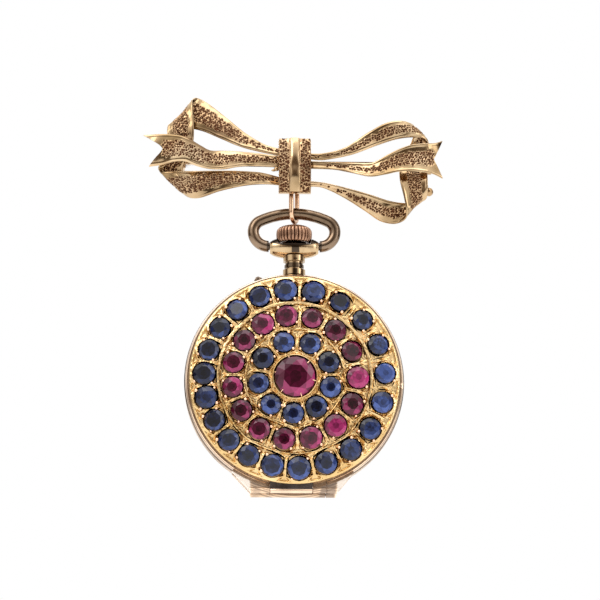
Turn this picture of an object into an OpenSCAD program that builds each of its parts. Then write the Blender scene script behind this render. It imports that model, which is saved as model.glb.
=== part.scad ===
// Fob watch on a ribbon-bow brooch.
// Millimetres. +Z is up as worn, the gem-set back cover faces -Y, the dial faces +Y.
// The origin is the centre of the outer face of the glass, on the axis of the hands.

/* [Case] */
// radius of the case band
case_r = 13.5; // [12:0.1:15]
// radius of the gem-set back cover
cover_r = 12.9; // [12:0.1:13.2]
// depth of the crown of the back cover's dome, measured from the glass
dome_z = 8.45; // [8:0.05:9.2]
// radius of the dome
dome_R = 49.8; // [40:0.2:80]
// radius of the glass
glass_r = 11.22; // [10:0.02:11.3]

/* [Stones] */
// radius of the centre stone
ruby_r = 2.5; // [1.5:0.1:3]
// radius of a stone in the inner ring
inner_s = 1.31; // [0.8:0.01:1.32]
// radius of a stone in the middle ring
middle_s = 1.38; // [0.8:0.01:1.4]
// radius of a stone in the outer ring
outer_s = 1.42; // [0.8:0.01:1.43]
// stones in the inner ring
inner_n = 9; // [6:1:12]
// stones in the middle ring
middle_n = 15; // [10:1:18]
// stones in the outer ring
outer_n = 21; // [16:1:26]
// radius of the inner ring
inner_R = 4.5; // [4:0.05:5]
// radius of the middle ring
middle_R = 7.68; // [7:0.02:8.2]
// radius of the outer ring
outer_R = 11.05; // [10.5:0.05:11.4]

/* [Crown and bow] */
// radius over the flutes of the crown
crown_r = 2.23; // [1.8:0.01:2.6]
// number of flutes
flutes = 28; // [16:1:40]
// height of the pivots that the bow turns on
pivot_z = 17.22; // [17:0.02:17.5]
// mean radius of the bow
bow_r = 5.08; // [4.5:0.02:6]
// wire radius of the bow
bow_wire = 0.72; // [0.5:0.01:0.9]

/* [Brooch] */
// thickness of the ribbon sheet
ribbon_t = 0.3; // [0.2:0.02:0.5]
// radius of the brooch pin
pin_r = 0.32; // [0.25:0.01:0.45]
// height of the brooch pin
pin_z = 28.5; // [28:0.1:29]
// distance of the brooch pin from the glass plane
pin_y = -1.9; // [-2.4:0.1:-1.5]

/* [Hidden] */
$fn = 64;

gold = [0.83, 0.62, 0.36];
rose = [0.80, 0.52, 0.38];
brass = [0.80, 0.68, 0.38];
steel = [0.62, 0.63, 0.66];
blued = [0.10, 0.14, 0.42];
centre_red = [0.55, 0.03, 0.12];
ring_red = [0.6, 0.05, 0.2];
jewel_red = [0.7, 0.1, 0.2];
inner_blue = [0.04, 0.05, 0.25];
outer_blue = [0.06, 0.08, 0.4];
glass = [0.85, 0.9, 0.92];
enamel = [0.96, 0.95, 0.92];

stem_depth = 4.35;    // depth of the stem axis from the glass
stem_y = -stem_depth; // the same plane in world Y

// ---- helpers -------------------------------------------------------------

// watch frame: x right and y up as seen from the back, z is depth from the glass
module watch() rotate([90, 0, 0]) children();
module at(p) translate([p.x, p.y, 0]) children();
module disc(r, z1, z2, p = [0, 0]) translate([p.x, p.y, z1]) cylinder(r = r, h = z2 - z1);
module ring(r_in, r_out, z1, z2) translate([0, 0, z1]) difference() {
  cylinder(r = r_out, h = z2 - z1);
  translate([0, 0, -1]) cylinder(r = r_in, h = z2 - z1 + 2);
}
// cylinder along world X
module xcyl(r, x1, x2, y, z) translate([x1, y, z]) rotate([0, 90, 0]) cylinder(r = r, h = x2 - x1);
// cylinder along world Z on the stem axis
module stem_cyl(r, z1, z2) translate([0, stem_y, z1]) cylinder(r = r, h = z2 - z1);

function polar(r, a) = [r * cos(a), r * sin(a)];
function unit(v) = v / max(norm(v), 0.000001);
// Catmull-Rom curve between p1 and p2
function spline(p0, p1, p2, p3, t) = 0.5 * ((2 * p1) + (p2 - p0) * t
  + (2 * p0 - 5 * p1 + 4 * p2 - p3) * t * t + (3 * p1 - p0 - 3 * p2 + p3) * t * t * t);
// point on the curve through a list, u counted in list entries
function along(list, u) = let(n = len(list) - 1, i = min(floor(u), n - 1))
  spline(list[max(i - 1, 0)], list[i], list[i + 1], list[min(i + 2, n)], u - i);

// a strip of sheet between two edge curves; notch pulls the middle of its last end back.
// Soldered ends are squared to the YZ plane; a free last end keeps its own slant.
module strip(edge_a, edge_b, notch = 0, free = false) {
  last = len(edge_a) - 1;
  steps = 3; // cross-sections per table entry
  sections = last * steps;
  function middle(u) = (along(edge_a, u) + along(edge_b, u)) / 2;
  function tangent(u) = unit(middle(min(u + 0.05, last)) - middle(max(u - 0.05, 0)));
  function normal(u) = let(c = cross(tangent(u), along(edge_b, u) - along(edge_a, u)))
    (u == 0 || (u == last && !free)) ? unit([0, c.y, 0]) : unit(c);
  // six points to a section: a, middle and b on one face, then back on the other
  points = [for (s = [0 : sections])
    let(u = s / steps, a = along(edge_a, u), b = along(edge_b, u), h = normal(u) * ribbon_t / 2,
      c = (a + b) / 2 - (s == sections ? notch : 0) * tangent(u))
    each [a + h, c + h, b + h, b - h, c - h, a - h]];
  sides = [for (s = [0 : sections - 1]) for (j = [0 : 5])
    let(a = s * 6 + j, b = s * 6 + (j + 1) % 6)
    each [[b + 6, b, a], [a + 6, b + 6, a]]];
  e = sections * 6;
  caps = [[4, 5, 0], [1, 4, 0], [3, 4, 1], [2, 3, 1],
    [e + 5, e + 4, e], [e + 4, e + 1, e], [e + 4, e + 3, e + 1], [e + 3, e + 2, e + 1]];
  polyhedron(points = points, faces = concat(sides, caps), convexity = 6);
}

// spur gear; mod is the pitch diameter divided by the number of teeth
root_drop = 1.1;   // root depth below the pitch circle, in modules
tip_rise = 0.85;   // tip height above the pitch circle, in modules
tooth_share = 0.48; // part of the pitch that sets the tooth width
function gear_root(teeth, mod) = mod * teeth / 2 - root_drop * mod;
function gear_pts(teeth, mod) = let(root = gear_root(teeth, mod),
    tip = mod * teeth / 2 + tip_rise * mod, w = 360 / teeth * tooth_share)
  [for (i = [0 : teeth - 1]) let(a = 360 * i / teeth) each [
    polar(root, a - w * 0.62),
    polar(tip, a - w * 0.26),
    polar(tip, a + w * 0.26),
    polar(root, a + w * 0.62)]];
module gear(teeth, mod, z1, z2) translate([0, 0, z1]) linear_extrude(height = z2 - z1)
  polygon(gear_pts(teeth, mod));
// gear with a rim, four arms and a hub
module wheel(teeth, mod, z1, z2) {
  root = gear_root(teeth, mod);
  rim = 0.45;
  arm_w = 0.28;
  difference() {
    gear(teeth, mod, z1, z2);
    translate([0, 0, z1 - 0.1]) cylinder(r = root - rim, h = z2 - z1 + 0.2);
  }
  intersection() {
    disc(root - rim / 2, z1, z2);
    for (a = [20, 110]) rotate([0, 0, a])
      translate([-root, -arm_w / 2, z1]) cube([2 * root, arm_w, z2 - z1]);
  }
  disc(0.42, z1, z2);
}
// flat bar with round ends, from a to b
module arm2d(a, b, half_w) {
  translate(a) circle(r = half_w);
  translate(b) circle(r = half_w);
  d = b - a;
  translate(a) rotate([0, 0, atan2(d.y, d.x)]) translate([0, -half_w]) square([norm(d), 2 * half_w]);
}

// ---- brooch: its front faces -Y, its pin is on the +Y side ------------------

bar_z = 24.9;    // crossbar that the hook hangs on
band_y = 1.6;    // axis of the knot's curved band
band_z = 27.1;
strap_y = -3.5;  // front of the strap behind the ribbons
strap_t = 0.4;
strap_back = strap_y + strap_t;

// sheet bent round an X axis, cut to the knot's height
module curved_band(r_out, r_in, half_w, cut_half_w, z, height) intersection() {
  difference() {
    xcyl(r_out, -half_w, half_w, band_y, band_z);
    xcyl(r_in, -cut_half_w, cut_half_w, band_y, band_z);
  }
  translate([-3, -8, z]) cube([6, 2.2, height]);
}
module bow_knot() color(gold) {
  difference() {
    union() {
      // front band, and the raised ridge down its middle
      curved_band(9.0, 8.5, 2.0, 2.1, 23.5, 6.85);
      curved_band(9.12, 8.6, 0.62, 0.7, 23.6, 6.65);
      // the band turned over at the top
      translate([-2.0, -6.6, 29.85]) cube([4.0, 2.2, 0.5]);
      // core that the ribbons are soldered to
      translate([-1.9, -6.75, 26.1]) cube([3.8, 3.25, 3.9]);
      translate([-1.9, -6.4, 24.3]) cube([3.8, 2.9, 1.9]);
      translate([-1.9, -6.25, 23.75]) cube([3.8, 0.4, 0.8]);
    }
    // well for the hook
    translate([-1.15, -6.05, 23]) cube([2.3, 4, 3.3]);
  }
  xcyl(0.35, -1.3, 1.3, stem_y, bar_z);
}

// Edges of the ribbons as [x, y, z] stations, starting at the knot.
// Each ribbon is the sheet between its edges a and b.
loop_left_a = [[-1.9, -4.7, 29.7], [-3.7, -4.5, 30.3], [-5.9, -4.2, 31.7], [-8.3, -3.9, 33.75],
  [-10.4, -3.8, 35.5], [-11.8, -3.9, 36.35], [-12.6, -4.7, 36.25], [-12.8, -6.0, 35.1],
  [-12.6, -6.35, 32.6], [-12.6, -6.2, 30.4], [-13.0, -5.3, 28.9], [-13.6, -4.4, 27.9],
  [-14.0, -3.9, 26.4], [-13.4, -4.4, 23.7], [-11.9, -5.6, 23.0], [-9.3, -6.0, 23.8],
  [-6.1, -5.8, 24.6], [-3.6, -5.4, 24.9], [-1.9, -5.0, 24.9]];
loop_left_b = [[-1.9, -5.1, 28.7], [-3.9, -5.1, 29.1], [-6.7, -5.1, 29.8], [-9.3, -5.0, 30.9],
  [-11.6, -4.8, 31.9], [-13.8, -4.6, 32.4], [-15.6, -5.2, 32.5], [-15.9, -6.0, 31.8],
  [-15.9, -6.25, 30.8], [-15.9, -6.0, 29.3], [-16.4, -5.2, 28.3], [-16.9, -4.5, 27.5],
  [-17.0, -4.4, 27.0], [-16.5, -5.1, 26.5], [-15.0, -5.6, 26.45], [-11.8, -5.7, 26.5],
  [-7.8, -5.5, 26.6], [-4.4, -5.2, 26.5], [-1.9, -4.9, 26.0]];
loop_right_a = [[1.9, -4.8, 24.8], [3.7, -4.6, 24.7], [6.3, -4.3, 23.5], [8.9, -4.0, 21.9],
  [10.7, -3.9, 20.7], [12.4, -4.0, 20.3], [13.5, -4.8, 20.5], [13.9, -6.0, 21.2],
  [13.6, -6.35, 23.1], [13.1, -6.2, 25.5], [13.2, -5.3, 27.7], [13.9, -4.4, 29.4],
  [14.8, -3.9, 31.1], [15.1, -4.4, 32.6], [13.9, -5.6, 33.2], [11.7, -6.0, 32.95],
  [9.3, -5.9, 31.7], [6.4, -5.5, 29.8], [3.7, -5.1, 29.1], [1.9, -4.9, 29.1]];
loop_right_b = [[1.9, -5.0, 25.5], [3.8, -5.0, 25.3], [6.8, -5.0, 24.6], [9.6, -5.0, 23.8],
  [11.9, -4.8, 23.1], [14.1, -4.6, 22.9], [16.2, -5.2, 23.2], [16.6, -6.0, 23.9],
  [16.6, -6.25, 25.1], [16.6, -6.0, 26.5], [16.7, -5.2, 28.0], [16.9, -4.5, 29.4],
  [17.0, -4.4, 30.3], [16.6, -5.1, 30.9], [15.1, -5.6, 31.1], [12.9, -5.8, 30.8],
  [10.4, -5.7, 30.0], [7.1, -5.4, 28.8], [3.8, -5.1, 28.2], [1.9, -5.0, 28.3]];
tail_left_a = [[-1.9, -5.6, 28.5], [-4.1, -5.8, 28.75], [-6.7, -5.9, 28.95], [-8.8, -6.1, 29.0],
  [-10.5, -6.6, 28.9], [-11.7, -7.0, 29.4], [-13.0, -7.3, 30.1], [-14.4, -7.4, 30.6],
  [-16.5, -7.5, 30.7], [-18.9, -7.2, 30.6]];
tail_left_b = [[-1.9, -5.7, 27.0], [-4.1, -6.0, 27.0], [-6.7, -6.5, 26.85], [-8.7, -6.9, 26.4],
  [-10.5, -7.2, 26.3], [-12.1, -7.4, 26.6], [-13.6, -7.4, 27.2], [-15.1, -7.5, 27.1],
  [-16.5, -7.5, 26.7], [-18.1, -7.3, 26.5]];
tail_right_a = [[1.9, -5.6, 27.9], [5.1, -5.8, 27.7], [7.7, -6.0, 27.6], [9.8, -6.4, 27.6],
  [11.6, -6.9, 28.5], [13.1, -7.2, 29.2], [14.6, -7.3, 29.7], [16.3, -7.2, 29.9],
  [17.5, -6.7, 30.1], [18.5, -6.0, 30.6]];
tail_right_b = [[1.9, -5.7, 26.9], [5.1, -6.0, 26.7], [7.5, -6.5, 26.1], [9.4, -7.0, 25.6],
  [11.2, -7.3, 25.8], [12.8, -7.5, 26.1], [14.3, -7.5, 26.2], [16.3, -7.3, 26.1],
  [17.4, -7.0, 25.9], [18.4, -6.6, 25.5]];

module ribbon_loop_left() color(gold) strip(loop_left_a, loop_left_b);
module ribbon_loop_right() color(gold) strip(loop_right_a, loop_right_b);
module ribbon_tail_left() color(gold) strip(tail_left_a, tail_left_b, notch = 2.4, free = true);
module ribbon_tail_right() color(gold) strip(tail_right_a, tail_right_b, notch = 1.2, free = true);

// strap behind the ribbons that carries the pin
module brooch_bar() color(gold) translate([-15.2, strap_y, 28.0]) cube([32.6, strap_t, 0.45]);

joint_x = -14.4; // pivot of the pin
taper_x = 14.6;  // start of the pin's point
module pin_hinge_bracket() color(gold) difference() {
  union() {
    translate([joint_x - 0.8, strap_back, pin_z - 0.9]) cube([1.6, 0.35, 1.8]);
    for (s = [-1, 1]) translate([joint_x, pin_y, pin_z + s * 0.7 - 0.2]) {
      cylinder(r = 0.7, h = 0.4);
      translate([-0.7, -1.1, 0]) cube([1.4, 1.1, 0.4]);
    }
  }
  translate([joint_x, pin_y, pin_z - 1.2]) cylinder(r = 0.27, h = 2.4);
}
module pin_hinge_rivet() color(steel) translate([joint_x, pin_y, 0]) {
  translate([0, 0, pin_z - 1.0]) cylinder(r = 0.26, h = 2.0);
  for (s = [-1, 1]) translate([0, 0, pin_z + s * 1.0 - 0.08]) cylinder(r = 0.42, h = 0.16);
}
module pin_stem() color(steel) difference() {
  union() {
    translate([joint_x, pin_y, pin_z - 0.46]) cylinder(r = 0.6, h = 0.92);
    xcyl(0.5, joint_x + 0.4, joint_x + 1.2, pin_y, pin_z);
    xcyl(pin_r, joint_x + 1.2, taper_x, pin_y, pin_z);
    translate([taper_x, pin_y, pin_z]) rotate([0, 90, 0]) cylinder(r1 = pin_r, r2 = 0.06, h = 2.1);
  }
  translate([joint_x, pin_y, pin_z - 1]) cylinder(r = 0.3, h = 2);
}

sleeve_r = 1.17;
end_x = 16.95; // inner face of the catch's end plate
knob_z = 25.05;
lever_x = 16.1;
module catch_block() color(gold) difference() {
  union() {
    xcyl(0.95, 15.3, 17.1, pin_y, pin_z);
    xcyl(1.15, 15.3, 15.5, pin_y, pin_z);
    xcyl(sleeve_r, end_x, 17.4, pin_y, pin_z);
    translate([end_x, strap_back, pin_z - 0.5]) cube([0.45, 1.2, 1.0]);
  }
  // bore for the pin, open towards +Y
  xcyl(0.45, 15.0, 17.0, pin_y, pin_z);
  translate([15.0, pin_y, pin_z - 0.4]) cube([2.0, 2, 0.8]);
}
module catch_sleeve() color(gold) {
  difference() {
    xcyl(sleeve_r, 15.55, 16.9, pin_y, pin_z);
    xcyl(0.99, 15.4, 17.0, pin_y, pin_z);
    translate([15.4, pin_y, pin_z - 0.42]) cube([1.6, 2, 0.84]);
  }
  // lever, with a knob for the finger
  translate([lever_x, pin_y - 0.25, knob_z + 0.7]) cube([0.6, 0.5, pin_z - 1.0 - knob_z - 0.7]);
  translate([lever_x, pin_y - 0.25, knob_z - 0.1]) cube([0.9, 0.5, 0.9]);
  translate([17.1, pin_y, knob_z]) sphere(r = 0.56);
}

hook_wire = 0.3;
hook_r = 1.15;  // mean radius of the link's round ends
hook_low = 21.53; // centres of the round ends
hook_high = 24.42;
// half ring in the YZ plane centred at z; cut_z is the base of the 2 mm high half that is kept
module hook_end(z, cut_z) translate([0, 0, z]) intersection() {
  rotate([0, 90, 0]) rotate_extrude() translate([hook_r, 0]) circle(r = hook_wire);
  translate([-1, -2, cut_z]) cube([2, 4, 2]);
}
// long closed link, turned a little about Z
module hanger_hook() color(rose) translate([0, stem_y, 0]) rotate([0, 0, -20]) {
  for (s = [-1, 1]) translate([0, s * hook_r, hook_low])
    cylinder(r = hook_wire, h = hook_high - hook_low);
  hook_end(hook_low, -2);
  hook_end(hook_high, 0);
}

bow_c = 19.12;      // height of the oval's middle
bow_rise = 2.3;     // from there to the wire's centre at the top
bow_top_R = 9.91;   // radius of its flat top arc
bow_up_R = 1.5;     // radius of its upper corners
bow_low_R = bow_c - pivot_z;
join_a = 64.8;      // angle where the top arc meets a corner
// piece of round wire bent to an arc in the XZ plane
module arc_wire(cx, cz, R, a0, a1) translate([cx, stem_y, cz]) rotate([90, 0, 0]) intersection() {
  rotate_extrude() translate([R, 0]) circle(r = bow_wire);
  translate([0, 0, -2]) linear_extrude(height = 4)
    polygon([[0, 0], polar(20, a0), polar(20, (a0 + a1) / 2), polar(20, a1)]);
}
module bail() color(gold) {
  arc_wire(0, bow_c + bow_rise - bow_top_R, bow_top_R, join_a, 180 - join_a);
  for (s = [0, 1]) mirror([s, 0, 0]) {
    arc_wire(bow_r - bow_up_R, bow_c, bow_up_R, 0, join_a);
    arc_wire(bow_r - bow_low_R, bow_c, bow_low_R, -90, 0);
    xcyl(0.5, 3.03, 3.3, stem_y, pivot_z);
    xcyl(0.3, 2.45, 3.2, stem_y, pivot_z);
  }
}

// ---- pendant, crown and stem ----------------------------------------------

stem_r = 0.35;
stem_bore = 0.38;
stem_top = 18.9;
// collars of the pendant's neck: radius, bottom, top
neck = [[1.35, 15.2, 15.9], [1.1, 14.0, 15.3], [1.22, 14.45, 14.75], [1.4, 13.2, 14.15]];

module pendant() color(gold) difference() {
  union() {
    // barrel-shaped body lying along X
    translate([0, stem_y, 17.05]) rotate([0, 90, 0]) rotate_extrude()
      polygon(concat([[0, -3.0]],
        [for (i = [-10 : 10]) let(x = 0.3 * i) [1.42 * pow(1 - pow(x / 3.3, 2), 0.36), x]],
        [[0, 3.0]]));
    for (c = neck) stem_cyl(c[0], c[1], c[2]);
  }
  // saddle for the crown, with a hub round the stem
  difference() {
    stem_cyl(2.3, 17.3, 19);
    stem_cyl(0.9, 16.9, 17.88);
  }
  stem_cyl(1.0, 17.88, 19);
  stem_cyl(stem_bore, 13, 18);
  // sockets of the bow
  for (s = [-1, 1]) translate([s * 2.9, stem_y, pivot_z]) rotate([0, 90, 0])
    cylinder(r = 0.33, h = 1.0, center = true);
  // seat on the case band
  watch() disc(case_r, -2, 12);
}
flute_drop = [0.16, 0.03, 0, 0.03]; // below crown_r at the quarters of a flute
module crown() color(rose) difference() {
  intersection() {
    translate([0, stem_y, 17.6]) linear_extrude(height = 2.4)
      polygon([for (i = [0 : flutes - 1]) each [for (j = [0 : 3])
        polar(crown_r - flute_drop[j], 360 * (i + j / 4) / flutes)]]);
    translate([0, stem_y, 15.0]) sphere(r = 4.87);
  }
  stem_cyl(1.5, 17.3, 18.15);
  stem_cyl(stem_r, 17, stem_top);
}
module winding_stem() color(steel) {
  stem_cyl(stem_r, 8.1, stem_top);
  // shoulder inside the crown
  stem_cyl(0.7, 17.93, 18.15);
  // winding pinion
  translate([0, stem_y, 8.3]) linear_extrude(height = 1.0) polygon(gear_pts(14, 0.119));
}

// push piece that frees the hands for setting, along local Z outwards from the watch's axis
push_a = 109;
module push_axis() translate([0, 0, stem_depth]) rotate([0, 0, push_a]) rotate([0, 90, 0]) children();
module setting_pin() color(rose) watch() push_axis() {
  translate([0, 0, 11.95]) cylinder(r = 0.3, h = 1.8);
  translate([0, 0, 13.58]) cylinder(r = 0.5, h = 0.2);
  translate([0, 0, 13.78]) cylinder(r1 = 0.5, r2 = 0.25, h = 0.25);
}

// ---- case ----------------------------------------------------------------

hinge_y = -13.62;    // height of both hinges, at the bottom of the case
rear_z = 6.3;        // depth of the covers' hinge
front_z = 2.45;      // depth of the bezel's hinge
hinge_left = -5.4;
hinge_right = 5.25;
leaf_left = -2.97;   // left end of the moving knuckles
cover_right = 2.17;  // right end of the back cover's knuckle
leaf_right = 3.87;   // right end of the cuvette's and the bezel's knuckles
dial_bore = 11.2;    // bores of the case band, from the glass side to the back
movement_bore = 11.78;
movement_z = 2.9;
cover_bore = 12.35;
cover_seat_z = 5.93;
// hinge lugs: outer end, inner end, root x
lugs = [[hinge_left, -3.0, -7.6], [hinge_right, 3.95, 7.2]];

module hinge_cyl(r, x1, x2, z) xcyl(r, x1, x2, hinge_y, z);
module knuckle(x1, x2, z) hinge_cyl(0.34, x1, x2, z);
module hinge_bore(z) hinge_cyl(0.18, -8, 8, z);
module hinge_pin(z) watch() hinge_cyl(0.16, hinge_left, hinge_right, z);

module case_middle() color(gold) watch() difference() {
  union() {
    // band section: radius, depth
    rotate_extrude() polygon([[dial_bore, 2.5], [12.7, 2.5], [13.1, 2.62], [13.35, 2.9],
      [case_r, 3.4], [case_r, 5.1], [13.38, 5.2], [13.38, 5.6], [13.3, 5.95], [13.15, 6.2],
      [cover_bore, 6.2], [cover_bore, cover_seat_z], [movement_bore, cover_seat_z],
      [movement_bore, movement_z], [dial_bore, movement_z]]);
    for (q = lugs) {
      for (z = [5.3, 2.62]) translate([0, 0, z]) linear_extrude(height = 0.82)
        polygon([[q[0], hinge_y], [q[1], hinge_y], [q[1], hinge_y + 2.2],
          [q[2] * 0.9, hinge_y + 3.15], [q[2], hinge_y + 2.35]]);
      for (z = [rear_z, front_z]) knuckle(min(q[0], q[1]), max(q[0], q[1]), z);
    }
  }
  disc(dial_bore, 2, 7);
  disc(movement_bore, movement_z, movement_z + 5);
  disc(cover_bore, cover_seat_z, cover_seat_z + 2);
  hinge_bore(rear_z);
  hinge_bore(front_z);
  // way for the tongue of the cuvette
  translate([2.2, -13.3, 5.9]) cube([1.7, 2.5, 1]);
  // stem
  translate([0, 11, stem_depth]) rotate([-90, 0, 0]) cylinder(r = stem_bore, h = 3);
  push_axis() {
    translate([0, 0, 11]) cylinder(r = 0.33, h = 3);
    translate([0, 0, 13.18]) cylinder(r = 0.55, h = 1);
  }
  // thumbnail notch at the back cover's edge
  translate([13.45, -0.6, 6.15]) sphere(r = 0.5);
}
module rear_hinge_pin() color(steel) hinge_pin(rear_z);
module front_hinge_pin() color(steel) hinge_pin(front_z);

// depth of the dome's outer face, r from the centre
function dome_at(r) = dome_z - dome_R + sqrt(dome_R * dome_R - r * r);
// put a child on the dome, r from the centre, at angle a
module on_dome(r, a) rotate([0, 0, a]) translate([0, 0, dome_z - dome_R])
  rotate([0, asin(r / dome_R), 0]) translate([0, 0, dome_R]) children();

// rings of stones: count, ring radius, stone radius, start angle, then the sine and cosine
// swings in degrees that give the unevenness of hand setting
inner_ring = [inner_n, inner_R, inner_s, 107, -3.2, 0.9];
middle_ring = [middle_n, middle_R, middle_s, 119, 2.5, 1.8];
outer_ring = [outer_n, outer_R, outer_s, 90, -1.1, 5.8];
function stone_a(set, i) = let(a = 360 * i / set[0])
  set[3] - a + set[4] * sin(a) + set[5] * cos(a);

module each_stone(set) for (i = [0 : set[0] - 1]) on_dome(set[1], stone_a(set, i)) children();
module stones(set) each_stone(set) {
  r = set[2];
  translate([0, 0, -0.28]) cylinder(r = r, h = 0.34);
  translate([0, 0, 0.06]) cylinder(r1 = r, r2 = r * 0.6, h = 0.34, $fn = 12);
}
module seats(set) each_stone(set) translate([0, 0, -0.28]) cylinder(r = set[2] + 0.01, h = 1);
// beads between neighbouring stones, offset from the ring's radius
module beads(set, offsets) for (i = [0 : set[0] - 1]) for (s = offsets)
  on_dome(set[1] + s, (stone_a(set, i) + stone_a(set, i + 1)) / 2) sphere(r = 0.22);

cover_t = 0.6;
rim_z = rear_z - 0.02;
ruby_z = dome_z - 0.32; // floor of the centre stone's seat
module back_cover() color(gold) watch() difference() {
  union() {
    rotate_extrude() polygon(concat([[cover_r, rim_z]],
      [for (i = [12 : -1 : 0]) let(r = cover_r * i / 12) [r, dome_at(r)]],
      [for (i = [0 : 12]) let(r = cover_bore * i / 12) [r, dome_at(r) - cover_t]],
      [[cover_bore, rim_z]]));
    // smooth band between the rings
    translate([0, 0, dome_at(9.35) - 0.3]) ring(9.1, 9.6, 0, 0.36);
    // bezel of the centre stone
    translate([0, 0, dome_z - 0.3]) ring(ruby_r + 0.01, ruby_r + 0.22, 0, 0.62);
    beads(outer_ring, [-0.85, 0.85]);
    beads(middle_ring, [-0.8, 0.8]);
    beads(inner_ring, [0.75]);
    // tongue and knuckle
    translate([leaf_left, hinge_y, rear_z]) cube([cover_right - leaf_left, 1.6, 0.34]);
    knuckle(leaf_left, cover_right, rear_z);
  }
  hinge_bore(rear_z);
  seats(inner_ring);
  seats(middle_ring);
  seats(outer_ring);
  translate([0, 0, ruby_z]) cylinder(r = ruby_r, h = 2);
}
module centre_ruby() color(centre_red) watch() translate([0, 0, ruby_z]) {
  cylinder(r = ruby_r - 0.01, h = 0.4);
  translate([0, 0, 0.4]) cylinder(r1 = ruby_r - 0.01, r2 = 1.5, h = 0.5, $fn = 12);
}
module inner_sapphires() color(inner_blue) watch() stones(inner_ring);
module ruby_ring() color(ring_red) watch() stones(middle_ring);
module outer_sapphires() color(outer_blue) watch() stones(outer_ring);

// plain inner cover
module cuvette() color(gold) watch() difference() {
  union() {
    translate([0, 0, 5.95]) cylinder(r = 12.3, h = 0.23);
    translate([2.25, hinge_y, 5.97]) cube([1.6, 2.6, 0.2]);
    knuckle(2.25, leaf_right, rear_z);
  }
  hinge_bore(rear_z);
}
bezel_bore = 11.4;
module bezel() color(gold) watch() difference() {
  union() {
    // section: radius, depth
    rotate_extrude() polygon([[10.9, 0.93], [11.25, 0.93], [11.25, 0.35], [11.9, 0.3],
      [12.5, 0.55], [13.0, 1.1], [13.25, 1.7], [13.3, 2.42], [bezel_bore, 2.42],
      [bezel_bore, 1.75], [10.9, 1.3]]);
    translate([leaf_left, hinge_y, front_z - 0.34]) cube([leaf_right - leaf_left, 1.7, 0.30]);
    knuckle(leaf_left, leaf_right, front_z);
  }
  hinge_bore(front_z);
  translate([0, 0, 1.75]) cylinder(r = bezel_bore, h = 1);
}
module crystal() color(glass) watch() rotate_extrude()
  polygon([[0, 0], [10.2, 0], [glass_r, 0.4], [glass_r, 0.92], [0, 0.92]]);

// ---- dial, hands and motion work -------------------------------------------

hand_t = 0.14;
hour_z = 1.7;
minute_z = 1.3;
cannon_teeth = 12;
minute_teeth = 36;
minute_pinion = 10;
hour_teeth = 40;
cannon_mod = 0.12;
motion_dist = cannon_mod * (cannon_teeth + minute_teeth) / 2;
hour_mod = 2 * motion_dist / (hour_teeth + minute_pinion);
minute_at = [0, -motion_dist];

module dial() color(enamel) watch() difference() {
  union() {
    disc(10.95, 1.98, 2.42);
    for (i = [0 : 11]) rotate([0, 0, i * 30]) translate([-0.15, 9.0, 1.93]) cube([0.3, 1.2, 0.1]);
  }
  disc(0.72, 1, 3);
}
module hour_hand() color(gold) watch() difference() {
  union() {
    disc(0.85, hour_z, hour_z + hand_t);
    translate([0, 0, hour_z]) linear_extrude(height = hand_t) {
      polygon([[-0.16, 0], [-0.16, 3.0], [-0.55, 4.1], [0, 5.6], [0.55, 4.1], [0.16, 3.0], [0.16, 0]]);
      translate([0, 2.6]) circle(r = 0.42);
    }
  }
  disc(0.57, 1, 3);
}
module minute_hand() color(gold) watch() difference() {
  union() {
    disc(0.7, minute_z, minute_z + hand_t);
    translate([0, 0, minute_z]) linear_extrude(height = hand_t) {
      polygon([[-0.12, 0], [-0.12, 5.6], [-0.42, 6.6], [0, 9.2], [0.42, 6.6], [0.12, 5.6], [0.12, 0]]);
      translate([0, 5.0]) circle(r = 0.34);
      polygon([[-0.12, 0], [0.12, 0], [0.25, -2.2], [-0.25, -2.2]]);
    }
  }
  disc(0.37, 1, 3);
}
module hour_wheel() color(brass) watch() difference() {
  union() {
    gear(hour_teeth, hour_mod, 2.48, 2.6);
    disc(0.56, 1.7, 2.5);
  }
  disc(0.42, 1, 3);
}
module minute_wheel() color(brass) watch() at(minute_at) difference() {
  union() {
    gear(minute_teeth, cannon_mod, 2.66, 2.8);
    gear(minute_pinion, hour_mod, 2.48, 2.68);
  }
  disc(0.23, 2, 3);
}

// ---- movement --------------------------------------------------------------

// axes in the watch frame
barrel_at = [-5.35, 2.49];
third_at = [3.945, -0.345];
fourth_at = [6.13, -2.95];
escape_at = [4.645, -5.522];
balance_at = [3.10, -6.08];
crown_wheel_at = [0, 6.5];
// screwed feet of the bridges and cocks
barrel_feet = [[-10.1, -3.6], [-5.1, 9.55], [3.8, 10.1]];
train_feet = [[5.2, 3.7], [9.9, -1.2], [8.4, 4.6]];
escape_foot = [8.6, -6.3];
balance_foot = [-1.6, -9.5];

// modules shared by meshing gears
barrel_mod = 0.13112;
winding_mod = 0.17144;
centre_mod = 0.11;
third_mod = 0.1;
fourth_mod = 0.09;

pivot_r = 0.1;
pivot_hole = pivot_r + 0.03;
pivot_z1 = 3.0;  // dial-side end of the pivots
arbor_z1 = 3.85; // dial-side shoulder of the arbors
plate_z = 3.8;   // back face of the mainplate
bridge_z1 = 4.9;
bridge_z2 = 5.3;

module pivot(z2) disc(pivot_r, pivot_z1, z2);
module screw_holes(feet, z1 = 3, z2 = 6) for (p = feet) disc(0.2, z1, z2, p);

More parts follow.
